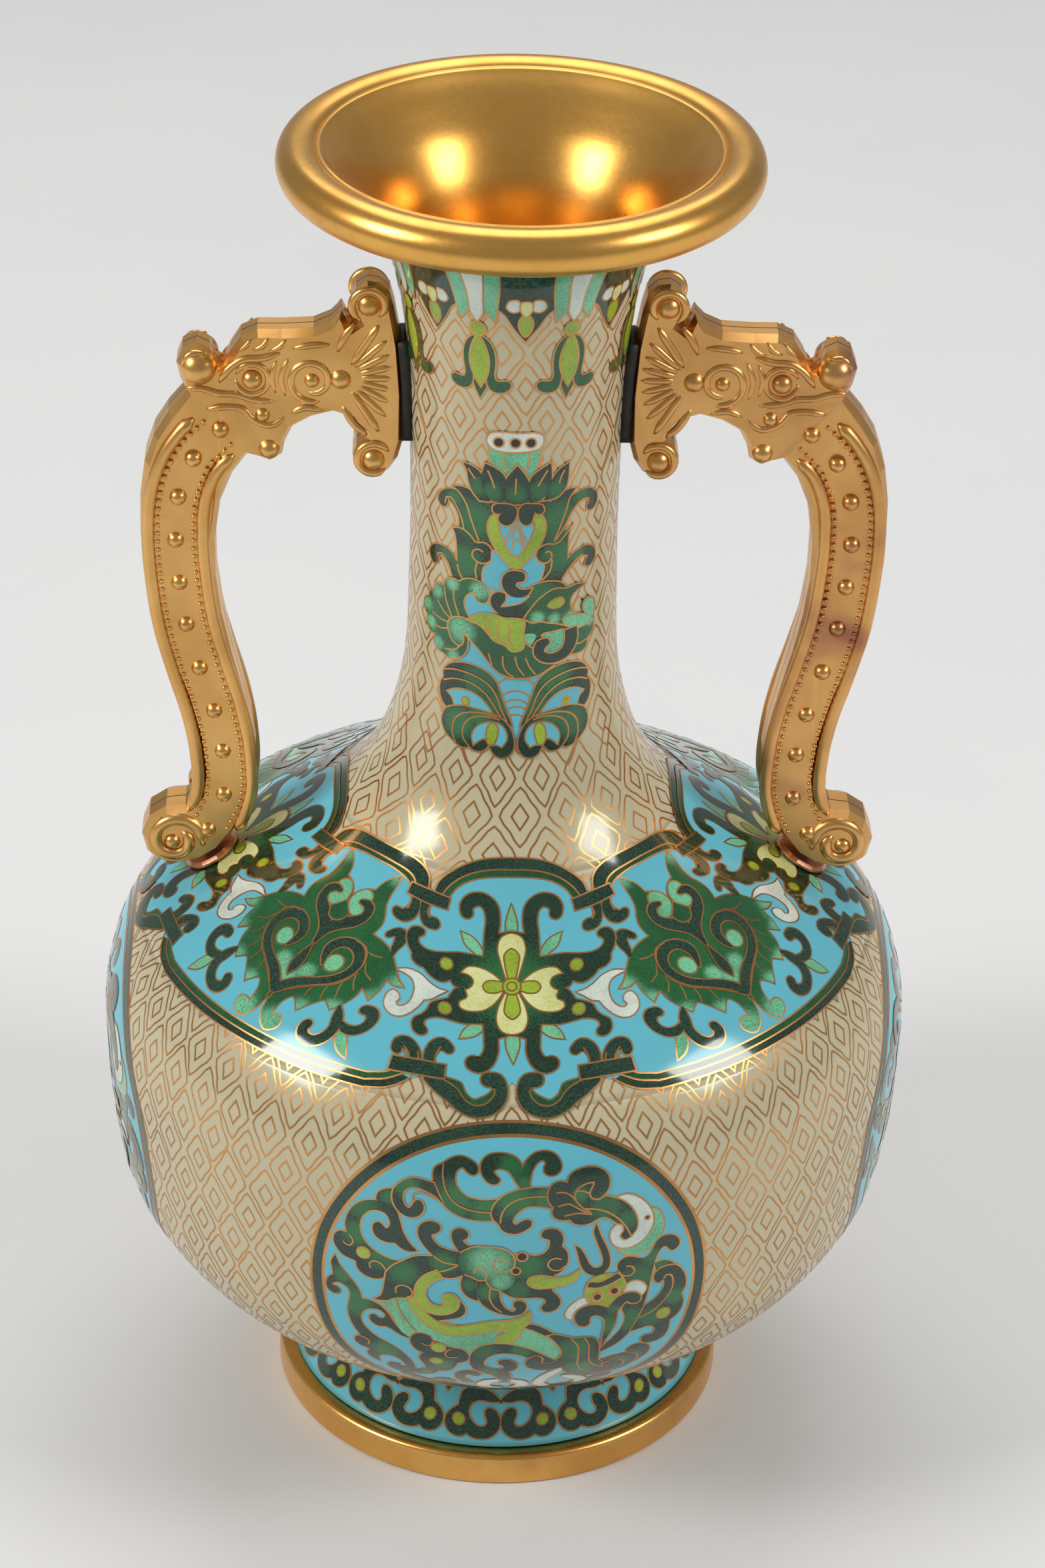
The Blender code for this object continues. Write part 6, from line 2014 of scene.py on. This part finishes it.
@dataclass
class CastRelief:
    """Rolled borders, bosses, beads, scrolls and the beast's features, cast on both faces of a handle."""

    bosses: tuple[Flat, ...] = (
        (61.3, 242.0), (67.0, 235.4), (70.3, 226.5), (71.0, 216.5), (70.4, 206.4), (69.1, 196.4),
        (66.5, 185.8),
        (63.6, 175.3), (61.9, 165.3), (61.8, 154.4), (65.4, 145.4),
    )
    boss: float = 1.9
    border: float = 5.7
    roll: float = 1.5
    bead_line: float = 3.7
    bead: float = 0.55
    bead_pitch: float = 1.9
    half_depth: float = 6.15
    head_depth: float = 5.15
    seat: tuple[Flat, ...] = ((23.4, 239.6), (23.3, 250.0), (24.2, 261.8))
    seat_half_width: float = 5.0

    def face(self, height: float) -> float:
        """Returns how far the handle's face stands from its middle plane at a height."""
        share = min(max((height - 238.0) / 14.0, 0.0), 1.0)
        return self.half_depth + (self.head_depth - self.half_depth) * share

    def cord(self, shape: bmesh.types.BMesh, side: int, face: int, radius: float, sunk: float,
             path: Sequence[Flat]) -> None:
        """Adds a rounded ridge along a path.

        Args:
            shape: the bmesh added to, in metres.
            side: +1 for the handle on +X, -1 for the other.
            face: +1 for the face on +Y, -1 for the other.
            radius: the ridge's radius in millimetres, thinned at both ends.
            sunk: how far its middle lies under the face.
            path: (x, z) points along it for the handle on +X.
        """
        line = catmull(np.array([p[:2] for p in path]), 0.9)
        along = np.gradient(line, axis=0)
        along /= np.maximum(np.hypot(along[:, 0], along[:, 1]), 1e-9)[:, None]
        rings: list[list[bmesh.types.BMVert]] = []
        last = len(line) - 1
        for number, ((x, z), (ax, az)) in enumerate(zip(line, along)):
            thin = radius * min(1.0, 0.35 + 0.3 * min(number, last - number))
            ring = []
            for turn in np.linspace(0, 2 * math.pi, 8, endpoint=False):
                wide, high = thin * math.cos(turn), thin * math.sin(turn)
                ring.append(shape.verts.new((side * (x - az * wide) * MM,
                                             face * (self.face(z) - sunk + high) * MM, (z + ax * wide) * MM)))
            rings.append(ring)
        for low, high in zip(rings, rings[1:]):
            for a, b, c, d in zip(low, low[1:] + low[:1], high[1:] + high[:1], high):
                shape.faces.new((a, b, c, d))
        shape.faces.new(rings[0])
        shape.faces.new(rings[-1])

    def ball(self, shape: bmesh.types.BMesh, side: int, face: int, place: Flat, radius: float, sunk: float,
             fine: int = 2) -> None:
        """Adds a boss, a ball standing partly out of the face."""
        middle = Vector((side * place[0] * MM, face * (self.face(place[1]) - sunk) * MM, place[1] * MM))
        bmesh.ops.create_icosphere(shape, subdivisions=fine, radius=radius * MM,
            matrix=Matrix.Translation(middle))

    @staticmethod
    def spiral(middle: Flat, start: float, end: float, first: float, sweep: float) -> list[Flat]:
        """Returns points of a spiral round a middle, its angles in degrees."""
        return [
            (middle[0] + r * math.cos(math.radians(a)), middle[1] + r * math.sin(math.radians(a)))
            for r, a in zip(np.linspace(start, end, 22), np.linspace(first, first + sweep, 22))
        ]

    def strap(self, shape: bmesh.types.BMesh, side: int, face: int) -> None:
        """Adds the borders, beads and bosses of the long strap."""
        middle = catmull(np.array(self.bosses), 0.5)
        along = np.gradient(middle, axis=0)
        along /= np.hypot(along[:, 0], along[:, 1])[:, None]
        across = np.column_stack([-along[:, 1], along[:, 0]])
        for hand in (-1, 1):
            rolled = middle + across * self.border * hand
            self.cord(shape, side, face, self.roll, 0.55, [tuple(p) for p in rolled[4:-4:8].tolist()])
            line = middle + across * self.bead_line * hand
            run = np.concatenate([[0.0], np.cumsum(np.hypot(*np.diff(line, axis=0).T))])
            for place in np.arange(1.0, run[-1] - 1.0, self.bead_pitch):
                spot = (float(np.interp(place, run, line[:, 0])), float(np.interp(place, run, line[:, 1])))
                self.ball(shape, side, face, spot, self.bead, 0.05, fine=1)
        for place in self.bosses:
            self.ball(shape, side, face, place, self.boss, 0.6)

    def head(self, shape: bmesh.types.BMesh, side: int, face: int) -> None:
        """Adds the beast's snout, eye, cheek, mouth, mane and the fan at the neck."""
        for place, radius, sunk in (
            ((65.6, 255.6), 3.9, 1.6), ((54.6, 253.4), 2.2, 0.4), ((51.2, 237.8), 2.4, 1.2),
            ((30.6, 270.2), 2.6, 1.2),
            ((29.6, 235.6), 2.6, 1.2), ((36.4, 253.6), 2.4, 0.9), ((52.5, 245.5), 1.6, 0.5),
            ((42.3, 253.3), 1.7, 0.5),
        ):
            self.ball(shape, side, face, place, radius, sunk, fine=3)
        for radius, path in (
            (0.8, self.spiral((54.6, 253.4), 3.5, 3.3, 20, 340)),
            (0.9, self.spiral((42.3, 253.3), 4.9, 2.8, 250, 400)),
            (0.9, self.spiral((30.6, 270.2), 3.6, 3.2, -60, 290)),
            (0.9, self.spiral((29.6, 235.8), 3.6, 3.2, 150, -290)),
            (0.8, ((68.2, 251.2), (65.0, 251.2), (61.6, 250.2), (58.0, 250.0), (54.0, 248.8), (50.0, 248.6))),
            (0.8, ((64.0, 246.6), (60.0, 247.2), (56.6, 246.8), (54.4, 244.4), (50.8, 243.2), (47.6, 245.2))),
            (0.9, ((48.8, 259.4), (52.4, 258.2), (56.4, 257.8), (59.6, 255.4), (61.4, 252.6))),
            (0.7, ((47.6, 262.4), (49.0, 260.6), (51.0, 259.8))),
            (0.7, ((51.2, 262.8), (52.4, 260.8), (54.4, 260.0))),
            (0.7, ((54.8, 262.6), (55.8, 260.8), (57.6, 259.6))),
            (0.7, ((47.2, 258.0), (48.6, 254.0), (47.8, 249.8))),
            (0.7, ((49.6, 257.6), (50.6, 254.0), (49.8, 250.4))),
            (0.8, ((38.6, 261.4), (42.4, 261.2), (46.2, 260.4))),
            (0.8, ((40.0, 246.6), (43.6, 247.2), (46.6, 246.0))),
            (0.8, ((64.2, 259.2), (67.4, 258.8), (69.0, 255.8))),
            (0.9, ((37.0, 259.8), (35.6, 263.2), (33.6, 266.0))),
            (0.9, ((36.0, 247.6), (33.6, 243.6), (31.0, 241.2))),
        ):
            self.cord(shape, side, face, radius, radius * 0.35, path)
        for turn in np.linspace(122, 238, 9):
            sine, cosine = math.sin(math.radians(turn)), math.cos(math.radians(turn))
            reach = 10.6 + 5.6 * abs(sine) ** 3
            path = tuple((36.0 + r * cosine, 254.0 + r * sine) for r in np.linspace(3.4, reach, 4))
            self.cord(shape, side, face, 0.95, 0.25, path)

    def scroll(self, shape: bmesh.types.BMesh, side: int, face: int) -> None:
        """Adds the volute at the strap's foot."""
        self.cord(shape, side, face, 1.5, 0.5, self.spiral((72.4, 142.8), 6.0, 2.4, 195, -430))
        self.ball(shape, side, face, (73.2, 142.4), 1.9, 0.6)

    def shaded_fillet(self, side: int) -> bmesh.types.BMesh:
        """Returns the closed fillet between a handle's seat and the neck, dark with painted shade of that
        crevice.
        """
        shape = bmesh.new()
        seat = catmull(np.array(self.seat), 1.4)
        widths = np.linspace(-self.seat_half_width, self.seat_half_width, 7)
        rows: list[list[bmesh.types.BMVert]] = []
        for x, z in seat:
            near = BODY.radius(BODY.run_at(z)) - SINK - 0.3
            wall = [(math.sqrt(near * near - y * y), y) for y in widths]
            rows.append([shape.verts.new((side * px * MM, y * MM, z * MM))
                         for px, y in wall + [(x + 0.5, y) for y in widths[::-1]]])
        for low, high in zip(rows, rows[1:]):
            for a, b, c, d in zip(low, low[1:] + low[:1], high[1:] + high[:1], high):
                shape.faces.new((a, b, c, d))
        shape.faces.new(rows[0])
        shape.faces.new(rows[-1])
        bmesh.ops.recalc_face_normals(shape, faces=shape.faces)
        return shape

    def build(self) -> None:
        """Makes the relief of both handles and the dark fillets at their seats, whose near-black is painted
        shade.
        """
        for side, name, tone in ((1, "right", Tone.CAST_RIGHT), (-1, "left", Tone.CAST_LEFT)):
            shape = bmesh.new()
            for face in (-1, 1):
                self.strap(shape, side, face)
                self.head(shape, side, face)
                self.scroll(shape, side, face)
            bmesh.ops.recalc_face_normals(shape, faces=shape.faces)
            add_piece(f"cast_relief_{name}", shape, tone)
            # Fills the gap at the handle's seat; its near-black finish paints the shade in that crevice.
            seam = self.shaded_fillet(side)
            add_piece(f"neck_solder_{name}", seam, Tone.SEAM)


# ---------------------------------------------------------------------------------------------
# Studio
# ---------------------------------------------------------------------------------------------


@dataclass
class Studio:
    """The pale floor, soft boxes and camera."""

    lens: float = 103.26
    place: tuple[float, float, float] = (0.0, -0.84260, 0.65718)
    pitch: float = 0.53835
    yaw: float = 0.00364
    roll: float = 0.0227
    turn: float = -0.027

    def build(self) -> None:
        """Makes the camera, floor and lights."""
        self._camera()
        self._floor()
        self._soft_box("left_box", (-1.15, -0.45, 1.0), 0.5, 11.5, (1.0, 0.99, 0.97))
        self._soft_box("right_box", (1.15, -0.45, 1.0), 0.5, 9.0, (1.0, 0.99, 0.98))
        self._soft_box("top_box", (0.0, 0.75, 1.4), 1.1, 9.0, (1.0, 1.0, 1.0))
        world = bpy.data.worlds.new("studio_air")
        world.use_nodes = True
        air = world.node_tree.nodes["Background"]
        air.inputs["Color"].default_value = (0.86, 0.86, 0.85, 1.0)
        air.inputs["Strength"].default_value = 0.36
        bpy.context.scene.world = world
        bpy.context.scene.view_settings.view_transform = "Standard"

    def _camera(self) -> None:
        """Makes the camera from its pitch, yaw and roll, turned a little round the vase."""
        forward = Vector(
            (
                math.sin(self.yaw) * math.cos(self.pitch), math.cos(self.yaw) * math.cos(self.pitch),
                -math.sin(self.pitch),
            )
        )
        right = Vector((math.cos(self.yaw), -math.sin(self.yaw), 0.0))
        up = right.cross(forward)
        across = right * math.cos(self.roll) + up * math.sin(self.roll)
        rise = up * math.cos(self.roll) - right * math.sin(self.roll)
        basis = Matrix((across, rise, -forward)).transposed().to_4x4()
        basis.translation = Vector(self.place)
        data = bpy.data.cameras.new("camera")
        data.lens = self.lens
        data.sensor_width = 36.0
        data.clip_start = 0.05
        camera = bpy.data.objects.new("camera", data)
        camera.matrix_world = Matrix.Rotation(self.turn, 4, "Z") @ basis
        bpy.context.scene.collection.objects.link(camera)
        bpy.context.scene.camera = camera

    def _floor(self) -> None:
        """Makes the floor, which rolls up into a backdrop."""
        shape = bmesh.new()
        line = [(-3.0, 0.0), (1.6, 0.0)]
        line += [(1.6 + 0.8 * math.sin(t), 0.8 - 0.8 * math.cos(t)) for t in np.linspace(0.15, math.pi / 2,
            9)]
        line.append((2.4, 3.0))
        row = [shape.verts.new((-3.0, y, z)) for y, z in line]
        edges = [shape.edges.new(pair) for pair in zip(row, row[1:])]
        swept = bmesh.ops.extrude_edge_only(shape, edges=edges)
        moved = [g for g in swept["geom"] if isinstance(g, bmesh.types.BMVert)]
        bmesh.ops.translate(shape, vec=(6.0, 0.0, 0.0), verts=moved)
        bmesh.ops.recalc_face_normals(shape, faces=shape.faces)
        mesh = bpy.data.meshes.new("floor")
        shape.to_mesh(mesh)
        shape.free()
        mesh.polygons.foreach_set("use_smooth", [True] * len(mesh.polygons))
        mesh.materials.append(Tone.FLOOR.material())
        floor = bpy.data.objects.new("floor", mesh)
        bpy.context.scene.collection.objects.link(floor)

    def _soft_box(
        self, name: str, place: tuple[float, float, float], size: float, power: float,
        colour: tuple[float, float, float],
    ) -> None:
        """Makes a square area light that faces the vase."""
        data = bpy.data.lights.new(name, "AREA")
        data.shape = "SQUARE"
        data.size = size
        data.energy = power
        data.color = colour
        box = bpy.data.objects.new(name, data)
        aim = Vector((0.0, 0.0, 0.13)) - Vector(place)
        box.matrix_world = Matrix.Translation(Vector(place)) @ aim.to_track_quat("-Z",
            "Y").to_matrix().to_4x4()
        bpy.context.scene.collection.objects.link(box)


def dress_carried_parts() -> None:
    """Gives each CAD node that stays in view its finish."""
    for nodes, tone in (
        (("foot_wall",), Tone.COPPER),
        (("base_enamel",), Tone.UNDER),
        (("handle_left_front_half", "handle_left_back_half"), Tone.CAST_LEFT),
        (("handle_right_front_half", "handle_right_back_half"), Tone.CAST_RIGHT),
        (("handle_left_pad", "handle_right_pad"), Tone.PAD),
    ):
        for node in nodes:
            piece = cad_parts[node]
            piece.data.materials.clear()
            piece.data.materials.append(tone.material())


def main() -> None:
    """Builds the vase piece by piece, then the studio round it."""
    logging.basicConfig(level=logging.INFO, format="%(message)s", stream=sys.stdout)
    dress_carried_parts()
    TurnedBody().build()
    GiltMouth().build()
    Foot().build()
    Lozenges().build()
    ShoulderBand().build()
    Medallions().build()
    NeckMotif().build()
    Collar().build()
    FootBand().build()
    CastRelief().build()
    Studio().build()


if __name__ == "__main__":
    main()
